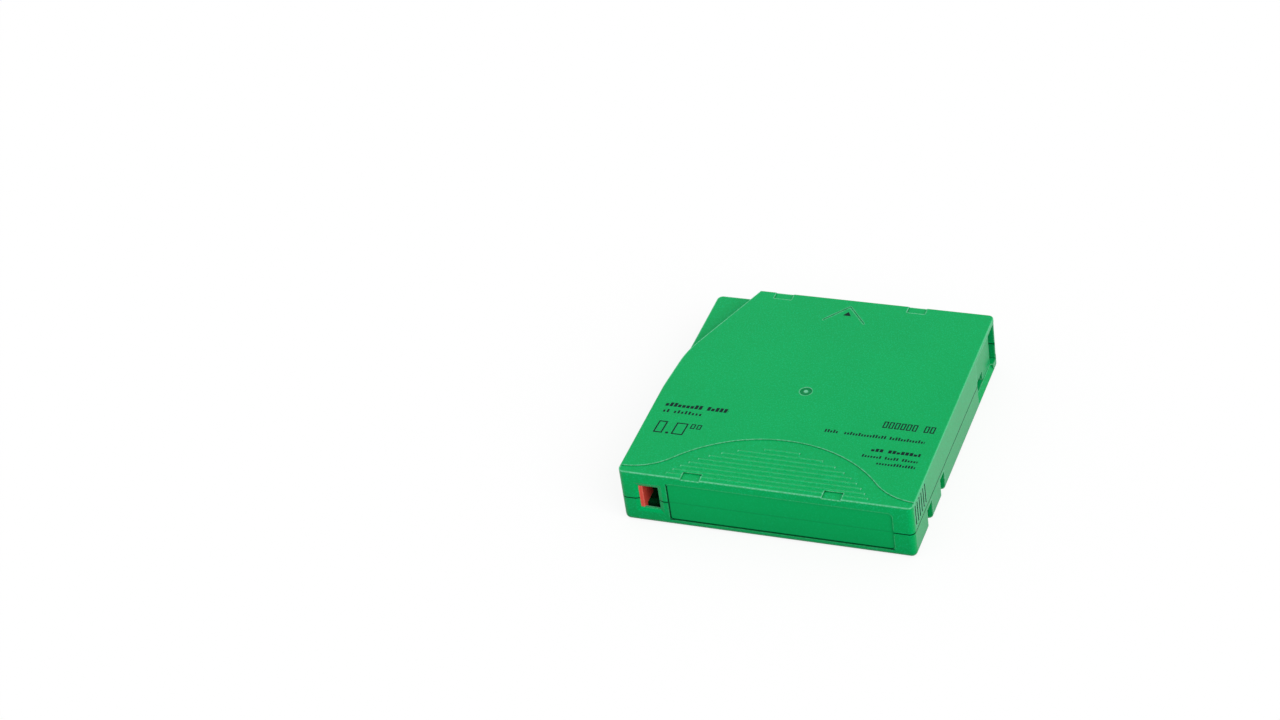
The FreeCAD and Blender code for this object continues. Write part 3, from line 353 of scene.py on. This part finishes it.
edge_group, given, result = new_group(
    "Edge_Wear_Highlight_And_Shade", {"Width mm": 0.5, "Groove mm": 1.2}, ("Edge", "Groove Shade"))
tree = edge_group
inward = add(tree, "AmbientOcclusion", {"samples": SAMPLES, "inside": True, "only_local": True},
             Distance=times(tree, given["Width mm"], 1 / MM)).outputs["AO"]
outward = add(tree, "AmbientOcclusion", {"samples": SAMPLES, "only_local": True},
              Distance=times(tree, given["Groove mm"], 1 / MM)).outputs["AO"]
# these spots break the lighter edge into dots, partly rubbed and partly a dotted painted highlight
rubbed_and_glint_spots = stretch(tree, noise(tree, RUB_SPOTS, Detail=2.0), *RUB_SPAN)
# Edge: convex edges made lighter, partly rubbed and partly a painted highlight on the rounded edge
feed(tree, result["Edge"], times(tree, stretch(tree, inward, *EDGE_SPAN), rubbed_and_glint_spots))
# the groove output is painted shade, darker in corners and grooves where little light reaches
feed(tree, result["Groove Shade"], stretch(tree, outward, *GROOVE_SHADE_SPAN))
print(tree.name, len(tree.nodes), "nodes")

# %% [markdown]
# ## Print
# The marks on the top are pad printed in black. Only plain fields, frames and rows of small strokes
# stand here, where a maker would put its words. They could be a painted picture, but a drawn mask
# has clean edges at any distance, so one group draws a row of equal frames. A bar is a row of one,
# and a frame whose line is thicker than itself is solid.

# %% Print group
LEFT, REAR, TOP = case_low.x * MM, case_low.y * MM, case_high.z * MM
INK_DEPTH = 0.02            # mm below the top, ink goes no deeper
SHORT_LOSS = 0.32           # how much of its height a short stroke lacks
SOLID = 9.0                 # mm, a line thicker than any mark
ROW_INPUTS = {"Left": 0.0, "Right": 1.0, "Low": 0.0, "High": 1.0, "Slant": 0.0, "Pitch": 1.0,
              "Width": 1.0, "Line": SOLID, "Gaps": 0.0, "Short": 0.0}

row_group, given, result = new_group("Printed_Row", ROW_INPUTS, ("Ink",))
tree = row_group
x, y, z = place_in_mm(tree)
up = minus(tree, minus(tree, y, REAR), given["Low"])
leant = minus(tree, minus(tree, x, LEFT), times(tree, up, given["Slant"]))
along = minus(tree, leant, given["Left"])
index = calc(tree, "FLOOR", calc(tree, "DIVIDE", along, given["Pitch"]))
stroke = add(tree, "CombineXYZ", X=index, Y=given["Low"]).outputs[0]
chance = add(tree, "TexWhiteNoise", {"noise_dimensions": "2D"}, Vector=stroke).outputs
kept = calc(tree, "GREATER_THAN", chance["Value"], given["Gaps"])
stature = add(tree, "SeparateColor", Color=chance["Color"]).outputs["Green"]
is_short = calc(tree, "LESS_THAN", stature, given["Short"])
half_share = times(tree, calc(tree, "MULTIPLY_ADD", is_short, -SHORT_LOSS, 1.0), 0.5)
half_height = times(tree, minus(tree, given["High"], given["Low"]), half_share)
half_width = times(tree, given["Width"], 0.5)
from_start = minus(tree, along, times(tree, index, given["Pitch"]))
across = calc(tree, "ABSOLUTE", minus(tree, from_start, half_width))
upward = calc(tree, "ABSOLUTE", minus(tree, up, half_height))
depth = most(tree, minus(tree, across, half_width), minus(tree, upward, half_height))
inside = calc(tree, "LESS_THAN", depth, 0.0)
in_line = calc(tree, "GREATER_THAN", calc(tree, "ADD", depth, given["Line"]), 0.0)
after_left = calc(tree, "GREATER_THAN", along, 0.0)
before_right = calc(tree, "LESS_THAN", along, minus(tree, given["Right"], given["Left"]))
on_top = calc(tree, "GREATER_THAN", z, TOP - INK_DEPTH)
feed(tree, result["Ink"], times(tree, inside, in_line, after_left, before_right, kept, on_top))
print(tree.name, len(tree.nodes), "nodes")

# %% Printed marks
# Places are in mm from the rear left corner. gaps and short are shares of the strokes.
# left, right, low, high, slant, pitch, width, line, gaps, short
ROWS = [
    (4.4, 27.0, 36.0, 38.1, 0.10, 1.50, 1.12, SOLID, 0.06, 0.6),      # bold strokes
    (4.7, 18.6, 32.7, 34.4, 0.06, 1.30, 0.72, SOLID, 0.05, 0.6),      # fine strokes
    (5.0, 8.2, 21.7, 28.0, 0.05, 3.2, 3.2, 0.52, 0.0, 0.0),           # tall frame
    (9.4, 10.4, 21.6, 22.6, 0.0, 1.0, 1.0, SOLID, 0.0, 0.0),          # dot
    (11.4, 15.6, 21.7, 28.0, 0.05, 4.2, 4.2, 0.52, 0.0, 0.0),         # tall frame
    (16.9, 21.2, 25.6, 28.1, 0.05, 2.2, 1.6, 0.42, 0.0, 0.0),         # two small frames
    (80.8, 92.9, 38.3, 41.7, 0.05, 2.03, 1.6, 0.46, 0.0, 0.0),        # six frames
    (95.0, 98.9, 38.3, 41.7, 0.05, 2.03, 1.6, 0.46, 0.0, 0.0),        # two frames
    (62.4, 97.0, 32.6, 34.2, 0.06, 0.98, 0.60, SOLID, 0.06, 0.6),     # fine strokes
    (80.6, 97.4, 25.7, 27.3, 0.06, 1.46, 1.12, SOLID, 0.06, 0.5),     # bold strokes
    (78.4, 97.4, 22.4, 23.8, 0.06, 0.98, 0.6, SOLID, 0.06, 0.6),      # fine strokes
    (84.2, 97.4, 19.4, 20.8, 0.06, 0.98, 0.6, SOLID, 0.06, 0.6),      # fine strokes
]
ARROW_ACROSS, ARROW_UP = 51.2, 96.2         # the middle of its foot
ARROW_HALF, ARROW_TAPER = 1.5, 0.65


def arrow_mark(tree):
    """The small solid triangle that points into the drive."""
    x, y, z = place_in_mm(tree)
    beside = calc(tree, "ABSOLUTE", minus(tree, x, LEFT + ARROW_ACROSS))
    up = minus(tree, y, REAR + ARROW_UP)
    slope = calc(tree, "MULTIPLY_ADD", up, ARROW_TAPER, beside)
    return times(tree, calc(tree, "LESS_THAN", slope, ARROW_HALF),
                 calc(tree, "GREATER_THAN", up, 0.0),
                 calc(tree, "GREATER_THAN", z, TOP - INK_DEPTH))


def printed_marks(tree):
    """Every mark of ink on the top."""
    inks = [use_group(tree, row_group, **dict(zip(ROW_INPUTS, row)))["Ink"] for row in ROWS]
    return most(tree, arrow_mark(tree), *inks)


print("print", len(ROWS), "rows and an arrow")

# %% [markdown]
# ## Lines and shadows of the case
# Where the two mouldings meet there is a thin dark line. The rest is painted light and shade: a
# painted shadow along the left and the foot of the label recess, painted shade in the side grooves,
# in the room behind the red tab and in the ring round the nub over the reel, and painted highlights
# on that nub and along the rims. These could be painted by hand on an unwrapped picture, but the
# places are known in millimetres, so masks on the object coordinates hit them exactly.

# %% Spans
EDGE_SOFT = 0.03            # mm


def middle(name):
    """The middle of a node seen from above, in mm."""
    low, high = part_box(name)
    return ((low.x + high.x) * MM / 2, (low.y + high.y) * MM / 2)


def between(tree, value, low, high, soft=EDGE_SOFT):
    """1 where value lies between low and high, with soft ends."""
    return times(tree, stretch(tree, value, low - soft, low + soft),
                 stretch(tree, value, high + soft, high - soft))


def within(tree, places, spans):
    """1 where each of the places lies in its span."""
    return times(tree, *(between(tree, place, *span) for place, span in zip(places, spans)))


def without(tree, mask, share=1.0):
    """What a mask leaves over."""
    return calc(tree, "MULTIPLY_ADD", mask, -share, 1.0)


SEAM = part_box("lower_case")[1].z * MM
# the nub over the reel's axis gets a painted highlight, and the ring round it painted shade
NUB_CENTRE = middle("tape_pack")
print("seam at", round(SEAM, 2), "mm, nub_centre at", [round(value, 2) for value in NUB_CENTRE])

# %% Case details
# the second seam band is where edges get neither rub nor painted highlight
SEAM_DARK, SEAM_NO_RUB_NO_HIGHLIGHT = (SEAM - 0.08, SEAM + 0.38), (SEAM - 0.8, SEAM + 1.1)
LABEL_X, LABEL_Z = (LEFT + 16.7, -LEFT - 7.1), (2.6, 18.0)
# the width of the painted shadow lines at the left and the foot of the label recess
LABEL_SHADOW_LINE = 0.42
LABEL_LEFT_SHADOW = (LABEL_X[0], LABEL_X[0] + LABEL_SHADOW_LINE)
LABEL_FOOT_SHADOW = (LABEL_Z[0], LABEL_Z[0] + LABEL_SHADOW_LINE)
REAR_SKIN, TOP_SKIN, RIM_SKIN = 0.6, 1.0, 0.5       # how deep each of these faces goes
RIM_Z = (TOP - 0.38, TOP - 0.06)
LABEL_FADE, REAR_CALM, RING_SHADE, RIM_SHINE = 0.8, 0.75, 0.5, 0.55     # shares of their masks
# spans of the painted highlight on the nub and of the painted shade ring round it
NUB_HIGHLIGHT_SPAN, RING_SPAN = (0.95, 0.55), (0.95, 1.9, 0.15)
# painted shade in the side grip grooves: across from the side, along from the rear and up
SIDE_GROOVE_SHADE_SPANS = ((0.04, 0.7), (REAR + 2.8, REAR + 15.2), (11.8, TOP - 1.4))
# painted shade in the room behind the red tab: across, along and up
CHAMBER_SHADE_SPANS = ((LEFT + 1.7, LEFT + 21), (REAR + 1.6, REAR + 20), (1.9, TOP - 1.9))


def rear_seam_and_shadows(tree, x, y, z):
    """Label recess, seam, painted shadow by the recess, and where edges are lightened."""
    on_rear = calc(tree, "LESS_THAN", y, REAR + REAR_SKIN)
    label_wide, label_tall = between(tree, x, *LABEL_X), between(tree, z, *LABEL_Z)
    in_label = times(tree, label_wide, label_tall, on_rear)
    seam = times(tree, between(tree, z, *SEAM_DARK), without(tree, in_label, LABEL_FADE))
    # painted shadow along the left side and the foot of the label recess
    left_shadow_line = times(tree, between(tree, x, *LABEL_LEFT_SHADOW), label_tall, on_rear)
    foot_shadow_line = times(tree, between(tree, z, *LABEL_FOOT_SHADOW), label_wide, on_rear)
    below_rim = times(tree, on_rear, calc(tree, "LESS_THAN", z, TOP - TOP_SKIN))
    # where edges are lightened, as rub and painted highlight: not by the seam, less on the rear
    rub_and_highlight_kept = times(tree, without(tree, between(tree, z, *SEAM_NO_RUB_NO_HIGHLIGHT)),
                     without(tree, below_rim, REAR_CALM))
    return in_label, most(tree, seam, left_shadow_line, foot_shadow_line), rub_and_highlight_kept


def nub_highlight_and_ring(tree, x, y, z):
    """A painted highlight on the nub over the reel, and the ring round it for painted shade."""
    across, along = (minus(tree, place, centre) for place, centre in zip((x, y), NUB_CENTRE))
    squared = calc(tree, "MULTIPLY_ADD", across, across, times(tree, along, along))
    from_nub = calc(tree, "SQRT", squared)
    on_top = calc(tree, "GREATER_THAN", z, TOP - TOP_SKIN)
    nub_highlight = times(tree, stretch(tree, from_nub, *NUB_HIGHLIGHT_SPAN), on_top)
    return nub_highlight, times(tree, between(tree, from_nub, *RING_SPAN), on_top)


def case_details(tree):
    """Case masks: seam and painted shade, painted highlights, edge rub kept, label floor."""
    x, y, z = place_in_mm(tree)
    from_side = minus(tree, -LEFT, calc(tree, "ABSOLUTE", x))
    in_label, lines, rub_and_highlight_kept = rear_seam_and_shadows(tree, x, y, z)
    nub_highlight, ring = nub_highlight_and_ring(tree, x, y, z)
    side_groove_shade = within(tree, (from_side, y, z), SIDE_GROOVE_SHADE_SPANS)
    chamber_shade = within(tree, (x, y, z), CHAMBER_SHADE_SPANS)
    # the dark seam line, together with painted shadow and painted shade
    dark = most(tree, lines, side_groove_shade, chamber_shade, times(tree, ring, RING_SHADE))
    # a painted highlight along the rounded rims of the top, on the sides and the ends
    by_side = calc(tree, "LESS_THAN", from_side, RIM_SKIN)
    by_end = calc(tree, "GREATER_THAN", calc(tree, "ABSOLUTE", y), -REAR - RIM_SKIN)
    rim_highlight = times(tree, most(tree, by_side, by_end), between(tree, z, *RIM_Z))
    return dark, most(tree, nub_highlight, times(tree, rim_highlight, RIM_SHINE)), rub_and_highlight_kept, in_label


print("label", [round(high - low, 1) for low, high in (LABEL_X, LABEL_Z)], "mm")

# %% [markdown]
# ## Moulded plastic
# The case is pigmented plastic with a satin grain, so its colour is deep and the surface scatters
# the light. A plain colour would look like paper. The real one shines green where it is seen head
# on and turns pale where it is seen along the surface, and a tint on the shine and a thin bluish
# sheen give both.

# %% Plastic helper
# DUSK is the tone of the pits and of the painted groove shade; BLACKED is the seam and painted
# shade
CLOUD_DEEP, DUSK, BLACKED = 0.93, 0.22, 0.07        # shades of a plastic's own colour
CLOUD_SHARE, PIT_SHARE, CALM_SHARE, GROOVE_SHADE_SHARE, DARK_SHARE = 0.6, 0.5, 0.6, 0.8, 0.92
PLASTIC_SWING, INK_ROUGHER = 0.16, 0.10             # in the roughness
PLASTIC_BUMP = 0.6
INK = (0.0, 0.002, 0.002, 1.0)
PLASTIC_IOR = 1.5
HAZE_ROUGHNESS, HAZE_TINT = 0.3, (0.35, 0.7, 1.0, 1.0)


def new_paint(name):
    """A new material, its nodes and its shader."""
    paint = bpy.data.materials.new(name)
    paint.use_nodes = True
    return paint, paint.node_tree, paint.node_tree.nodes["Principled BSDF"]


def add_bump(tree, shader, height, strength, depth_mm):
    """Raise and lower the surface by a height from 0 to 1."""
    bump = add(tree, "Bump", Height=height, Strength=strength, Distance=depth_mm / MM)
    feed(tree, shader.inputs["Normal"], bump.outputs["Normal"])


def plastic(name, colour, worn_and_lit_tone, roughness, grain_mm, bump_mm, wear_and_highlight, flecks, fleck=None, tint=WHITE,
            shine=0.5, haze=0.0, marks=None, details=None):
    """A moulded plastic with grain, clouding, lighter edges (wear and painted highlight) and
    painted shade.
    """
    paint, tree, shader = new_paint(name)
    grain = use_group(tree, grain_group, Grain_mm=grain_mm)
    edges = use_group(tree, edge_group)
    rub_and_highlight = edges["Edge"]
    deep, dusk, seam_and_shade_black = (shaded(colour, share) for share in (CLOUD_DEEP, DUSK, BLACKED))
    clouded = blend_colours(tree, times(tree, grain["Cloud"], CLOUD_SHARE), colour, deep)
    tone = blend_colours(tree, times(tree, grain["Flecks"], flecks), clouded, fleck or worn_and_lit_tone)
    tone = blend_colours(tree, times(tree, grain["Pits"], PIT_SHARE * flecks), tone, dusk)
    if details:
        dark, painted_highlights, rub_and_highlight_kept, smooth = details(tree)
        rub_and_highlight = most(tree, times(tree, rub_and_highlight, rub_and_highlight_kept), painted_highlights)
        tone = blend_colours(tree, times(tree, smooth, CALM_SHARE), tone, clouded)
    # lighter edges: partly rubbed, partly a painted highlight
    tone = blend_colours(tree, times(tree, rub_and_highlight, wear_and_highlight), tone, worn_and_lit_tone)
    # painted shade in corners and grooves
    tone = blend_colours(tree, times(tree, edges["Groove Shade"], GROOVE_SHADE_SHARE), tone, dusk)
    if details:
        # the dark seam line, together with painted shadow and painted shade
        tone = blend_colours(tree, times(tree, dark, DARK_SHARE), tone, seam_and_shade_black)
    rough = calc(tree, "MULTIPLY_ADD", grain["Height"], PLASTIC_SWING,
                 roughness - PLASTIC_SWING / 2)
    if marks:
        ink = marks(tree)
        tone = blend_colours(tree, ink, tone, INK)
        rough = calc(tree, "MULTIPLY_ADD", ink, INK_ROUGHER, rough)
    feed(tree, shader.inputs["Base Color"], tone)
    feed(tree, shader.inputs["Roughness"], rough)
    shader.inputs["IOR"].default_value = PLASTIC_IOR
    shader.inputs["Specular IOR Level"].default_value = shine
    shader.inputs["Specular Tint"].default_value = tint
    shader.inputs["Sheen Weight"].default_value = haze
    shader.inputs["Sheen Roughness"].default_value = HAZE_ROUGHNESS
    shader.inputs["Sheen Tint"].default_value = HAZE_TINT
    add_bump(tree, shader, grain["Height"], PLASTIC_BUMP, bump_mm)
    print("plastic", name, len(tree.nodes), "nodes")
    return paint


# %% Green plastic
# the second green is the pale tone of rubbed edges and of painted edge highlights
GREEN, WORN_AND_LIT_GREEN = linear(0, 166, 84), linear(132, 214, 176)
CASE_LOOK = dict(roughness=0.34, grain_mm=0.42, bump_mm=0.018, wear_and_highlight=0.65, flecks=0.33,
                 fleck=linear(30, 208, 146), tint=(0.0, 1.0, 0.9, 1.0), shine=0.18, haze=0.22)

case_printed = plastic("case_printed", GREEN, WORN_AND_LIT_GREEN, marks=printed_marks,
                       details=case_details, **CASE_LOOK)
case_green = plastic("case_green", GREEN, WORN_AND_LIT_GREEN, details=case_details, **CASE_LOOK)
door_green = plastic("door_green", GREEN, WORN_AND_LIT_GREEN, **CASE_LOOK)

# %% Small plastics
SMALL_LOOK = dict(grain_mm=0.5, bump_mm=0.012)

tab_red = plastic("tab_red", linear(222, 74, 60), linear(238, 130, 112), roughness=0.33,
                  grain_mm=0.6, bump_mm=0.01, wear_and_highlight=0.5, flecks=0.1, tint=(1.0, 0.5, 0.4, 1.0))
reel_plastic = plastic("reel_plastic", linear(226, 226, 218), linear(240, 240, 236),
                       roughness=0.38, wear_and_highlight=0.3, flecks=0.1, **SMALL_LOOK)
brake_plastic = plastic("brake_plastic", linear(186, 188, 186), linear(214, 214, 210),
                        roughness=0.42, wear_and_highlight=0.3, flecks=0.1, **SMALL_LOOK)
clamp_plastic = plastic("clamp_plastic", linear(34, 34, 36), linear(84, 84, 86),
                        roughness=0.45, wear_and_highlight=0.4, flecks=0.2, **SMALL_LOOK)

# %% [markdown]
# ## Steel
# The steel pieces differ only in how they were made: the screws are cold headed and zinc plated,
# the washer is stamped and ground, the leader pin is turned and polished, and the springs are drawn
# wire. Each could have a material of its own, but one helper with fine lines serves all: rings
# about an upright axis that may also climb along it.

# %% Ring group
DRIFT = 0.06                # how often the tone drifts, for each ring
DRIFT_SPAN = (0.3, 0.7)

ring_group, given, result = new_group(
    "Turned_Rings", {"Axis X mm": 0.0, "Axis Y mm": 0.0, "Ring mm": 0.1, "Rise": 0.0},
    ("Lines", "Drift"))
tree = ring_group
x, y, z = place_in_mm(tree)
x, y = minus(tree, x, given["Axis X mm"]), minus(tree, y, given["Axis Y mm"])
radius = calc(tree, "SQRT", calc(tree, "MULTIPLY_ADD", x, x, times(tree, y, y)))
travelled = calc(tree, "ADD", radius, times(tree, z, given["Rise"]))
turn = calc(tree, "DIVIDE", travelled, given["Ring mm"])
lines, drift = (add(tree, "TexNoise", {"noise_dimensions": "1D"}, W=turn, Scale=scale,
                    Detail=2.0).outputs["Fac"] for scale in (1.0, DRIFT))
feed(tree, result["Lines"], lines)
feed(tree, result["Drift"], stretch(tree, drift, *DRIFT_SPAN))
print(tree.name, len(tree.nodes), "nodes")

# %% Steel helper
STEEL_DARK, STEEL_BRIGHT = 0.72, 1.15       # shades of a steel's own colour
DULL_SPOTS = 260.0                          # in a metre
DULL_TONE, DULL_ROUGH = (0.45, 0.7), (0.35, 0.7)
SPOT_SHARE, LINE_SHARE, EDGE_SHARE = 0.6, 0.3, 0.5
STEEL_SWING, STEEL_SMOOTHER = 0.18, 0.05    # in the roughness
STEEL_EDGE, STEEL_BUMP = 0.2, 0.5           # mm, and a share


def steel(name, colour, roughness, ring_mm, axis, rise=0.0, bump_mm=0.004):
    """A bare or plated steel with fine tool lines and a few dull spots."""
    paint, tree, shader = new_paint(name)
    rings = use_group(tree, ring_group, Axis_X_mm=axis[0], Axis_Y_mm=axis[1], Ring_mm=ring_mm,
                      Rise=rise)
    edges = use_group(tree, edge_group, Width_mm=STEEL_EDGE)
    dull = noise(tree, DULL_SPOTS, Detail=3.0)
    dark, rubbed_and_lit_bright = shaded(colour, STEEL_DARK), shaded(colour, STEEL_BRIGHT)
    spots = times(tree, stretch(tree, dull, *DULL_TONE), SPOT_SHARE)
    tone = blend_colours(tree, spots, colour, dark)
    tone = blend_colours(tree, times(tree, rings["Lines"], LINE_SHARE), tone, dark)
    # edges made lighter by the same mask as the plastics: partly rubbed, partly a painted highlight
    tone = blend_colours(tree, times(tree, edges["Edge"], EDGE_SHARE), tone, rubbed_and_lit_bright)
    dulled = stretch(tree, dull, *DULL_ROUGH)
    feed(tree, shader.inputs["Base Color"], tone)
    shader.inputs["Metallic"].default_value = 1.0
    feed(tree, shader.inputs["Roughness"],
         calc(tree, "MULTIPLY_ADD", dulled, STEEL_SWING, roughness - STEEL_SMOOTHER))
    add_bump(tree, shader, rings["Lines"], STEEL_BUMP, bump_mm)
    print("steel", name, len(tree.nodes), "nodes")
    return paint


# %% Steels
reel_axis = middle("tape_pack")
washer_steel = steel("washer_steel", (0.56, 0.56, 0.55, 1), 0.28, 0.16, reel_axis)
pin_steel = steel("pin_steel", (0.70, 0.70, 0.69, 1), 0.16, 0.12, middle("leader_pin"),
                  rise=1.0, bump_mm=0.002)
screw_steel = steel("screw_steel", (0.58, 0.58, 0.57, 1), 0.26, 0.14, (LEFT, REAR), rise=0.5)
spring_steel = steel("spring_steel", (0.52, 0.52, 0.50, 1), 0.30, 0.10, reel_axis, rise=0.7)

# %% [markdown]
# ## Tape
# The pack is hundreds of metres of dark brown film. Its flat side is the edge of every turn, so it
# shows rings that shine at some radii and not at others, where the tension changed. A spiral could
# be modelled, but its turns are thinner than a hair, so rings in the colour, roughness and bump
# give the same look.

# %% Film
FILM_DARK, FILM_LIGHT, FILM_LINE = linear(46, 38, 34), linear(66, 56, 50), linear(30, 25, 23)
DUST, DUST_SPECKS, DUST_SPAN = linear(110, 104, 98), 900.0, (0.66, 0.74)
FILM_LINES, DUST_SHARE = 0.5, 0.3
FILM_RING, FILM_DEPTH = 0.07, 0.008         # mm
FILM_SWING, FILM_ROUGHNESS, FILM_BUMP = 0.12, 0.20, 0.4

tape_film, tree, shader = new_paint("tape_film")
rings = use_group(tree, ring_group, Axis_X_mm=reel_axis[0], Axis_Y_mm=reel_axis[1],
                  Ring_mm=FILM_RING)
dust = stretch(tree, noise(tree, DUST_SPECKS, Detail=2.0), *DUST_SPAN)
tone = blend_colours(tree, rings["Drift"], FILM_DARK, FILM_LIGHT)
tone = blend_colours(tree, times(tree, rings["Lines"], FILM_LINES), tone, FILM_LINE)
tone = blend_colours(tree, times(tree, dust, DUST_SHARE), tone, DUST)
feed(tree, shader.inputs["Base Color"], tone)
feed(tree, shader.inputs["Roughness"],
     calc(tree, "MULTIPLY_ADD", rings["Drift"], FILM_SWING, FILM_ROUGHNESS))
add_bump(tree, shader, rings["Lines"], FILM_BUMP, FILM_DEPTH)
print("film", tape_film.name, len(tree.nodes), "nodes")

# %% [markdown]
# ## Memory board
# The contactless memory is a small board with a resin chip and a flat copper coil. Flat colours
# would read as card, so the board shows the weave of its glass cloth, the resin is a little
# blotchy, and the copper is tarnished in places.

# %% Board materials
WEAVE = 320.0               # bands in a metre
WEAVE_SHARE = 0.4
BLOTCH_SPAN = (0.35, 0.65)
BLOTCH_DEPTH = 0.01         # mm
BLOTCH_SWING, BLOTCH_BUMP = 0.14, 0.4


def patchy(name, first, second, size_mm, roughness, metallic=0.0, weave=False):
    """A finish whose tone wanders between two colours, or follows a fine weave."""
    paint, tree, shader = new_paint(name)
    blotch = noise(tree, MM / size_mm, Detail=3.0)
    if weave:
        warp, weft = (add(tree, "TexWave", {"bands_direction": way}, Vector=object_place(tree),
                          Scale=WEAVE).outputs["Fac"] for way in "XY")
        blotch = calc(tree, "MULTIPLY_ADD", most(tree, warp, weft), WEAVE_SHARE,
                      times(tree, blotch, 1 - WEAVE_SHARE))
    tone = blend_colours(tree, stretch(tree, blotch, *BLOTCH_SPAN), first, second)
    feed(tree, shader.inputs["Base Color"], tone)
    feed(tree, shader.inputs["Roughness"],
         calc(tree, "MULTIPLY_ADD", blotch, BLOTCH_SWING, roughness - BLOTCH_SWING / 2))
    shader.inputs["Metallic"].default_value = metallic
    add_bump(tree, shader, blotch, BLOTCH_BUMP, BLOTCH_DEPTH)
    print("board", name, len(tree.nodes), "nodes")
    return paint


board_laminate = patchy("board_laminate", linear(24, 92, 58), linear(34, 112, 70), 0.6, 0.35,
                        weave=True)
chip_resin = patchy("chip_resin", linear(24, 24, 26), linear(40, 40, 42), 0.4, 0.45)
antenna_copper = patchy("antenna_copper", (0.78, 0.42, 0.26, 1), (0.52, 0.26, 0.16, 1), 0.7, 0.30,
                        metallic=1.0)

# %% [markdown]
# ## Dressing the solids
# A solid keeps its shape and its place, and only its material slots change. Copies of the solids
# could be dressed in their place, but then nothing would keep the two alike. The top has the print,
# so it gets its own paint, though it is the same green as the base and the door.

# %% Dress the solids
DRESS = {
    "upper_case": case_printed, "lower_case": case_green, "door": door_green,
    "write_protect_tab": tab_red, "reel_hub": reel_plastic, "upper_flange": reel_plastic,
    "brake_button": brake_plastic, "release_plate": brake_plastic, "pin_clamp": clamp_plastic,
    "case_screws": screw_steel, "hub_washer": washer_steel, "leader_pin": pin_steel,
    "pin_spring": spring_steel, "tape_pack": tape_film, "tape_leader": tape_film,
    "memory_board": board_laminate, "memory_chip": chip_resin, "memory_antenna": antenna_copper,
    "door_spring": spring_steel, "brake_spring": spring_steel,
}
for name, paint in DRESS.items():
    for slot in nodes[name].material_slots:
        slot.material = paint
print("dressed", len(DRESS), "of", len(nodes))

# %% [markdown]
# ## Springs
# A coil spring gets shorter when its door or brake moves, which a rigid solid can't do. A curve
# with a round bevel would also draw it, but a circle that is spun and lifted at each step is a
# closed mesh straight away, and its two end turns can lie flat, as the closed ends of a wound
# spring do.

# %% Wind a spring
STEPS = 20                  # straight bits in one turn
SIDES = 8                   # sides of the wire
CLOSED = 0.75               # turns that lie flat at each end


def wind_spring(name, foot, axis, length, radius, wire, turns):
    """A coil from foot along axis, with closed end turns."""
    axis = Vector(axis)
    out = axis.orthogonal().normalized()
    facing = Matrix((out, axis, out.cross(axis))).transposed().to_4x4()
    start = Matrix.Translation(Vector(foot) + out * radius + axis * wire / 2)
    bm = bmesh.new()
    ring = bmesh.ops.create_circle(bm, segments=SIDES, radius=wire / 2, matrix=start @ facing)
    loop = ring["verts"] + bm.edges[:]
    flat = (CLOSED, CLOSED * wire)
    open_part = (turns - 2 * CLOSED, length - wire - 2 * CLOSED * wire)
    for count, rise in (flat, open_part, flat):
        steps = round(count * STEPS)
        spun = bmesh.ops.spin(bm, geom=loop, cent=foot, axis=axis, dvec=axis * rise / steps,
                              angle=math.tau * count, steps=steps, use_merge=False,
                              use_duplicate=False)
        loop = spun["geom_last"]
    bmesh.ops.holes_fill(bm, edges=bm.edges, sides=SIDES)
    bmesh.ops.recalc_face_normals(bm, faces=bm.faces)
    mesh = bpy.data.meshes.new(name)
    bm.to_mesh(mesh)
    bm.free()
    mesh.shade_smooth()
    mesh.materials.append(spring_steel)
    piece = bpy.data.objects.new(name, mesh)
    bpy.context.scene.collection.objects.link(piece)
    print(name, len(mesh.polygons), "faces", [round(MM * side, 2) for side in piece.dimensions])
    return piece


def travel(joint_name):
    """How far a sliding joint goes, in metres."""
    joints = frame["record"]["behaviour"]["joints"]
    return next(joint["range_m"][1] for joint in joints if joint["name"] == joint_name)


print("travel", [travel(name) for name in ("door_slide", "brake_lift")], "m")

# %% Door spring
DOOR_WIRE, DOOR_TURNS = 0.00026, 22

low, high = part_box("door_spring")
centre = (low + high) / 2
length = high.y - low.y
radius = (high.x - low.x - DOOR_WIRE) / 2
foot = (centre.x, low.y, centre.z)
door_coil = wind_spring("door_coil", foot, (0, 1, 0), length, radius, DOOR_WIRE, DOOR_TURNS)
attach(door_coil, "case")
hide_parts("door_spring")
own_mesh(door_coil)

# %% Brake spring
BRAKE_WIRE, BRAKE_TURNS = 0.0007, 5

low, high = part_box("brake_spring")
centre = (low + high) / 2
length = high.z - low.z
radius = (high.x - low.x - BRAKE_WIRE) / 2
foot = (centre.x, centre.y, low.z)
brake_coil = wind_spring("brake_coil", foot, (0, 0, 1), length, radius, BRAKE_WIRE, BRAKE_TURNS)
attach(brake_coil, "case")
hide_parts("brake_spring")
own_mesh(brake_coil)
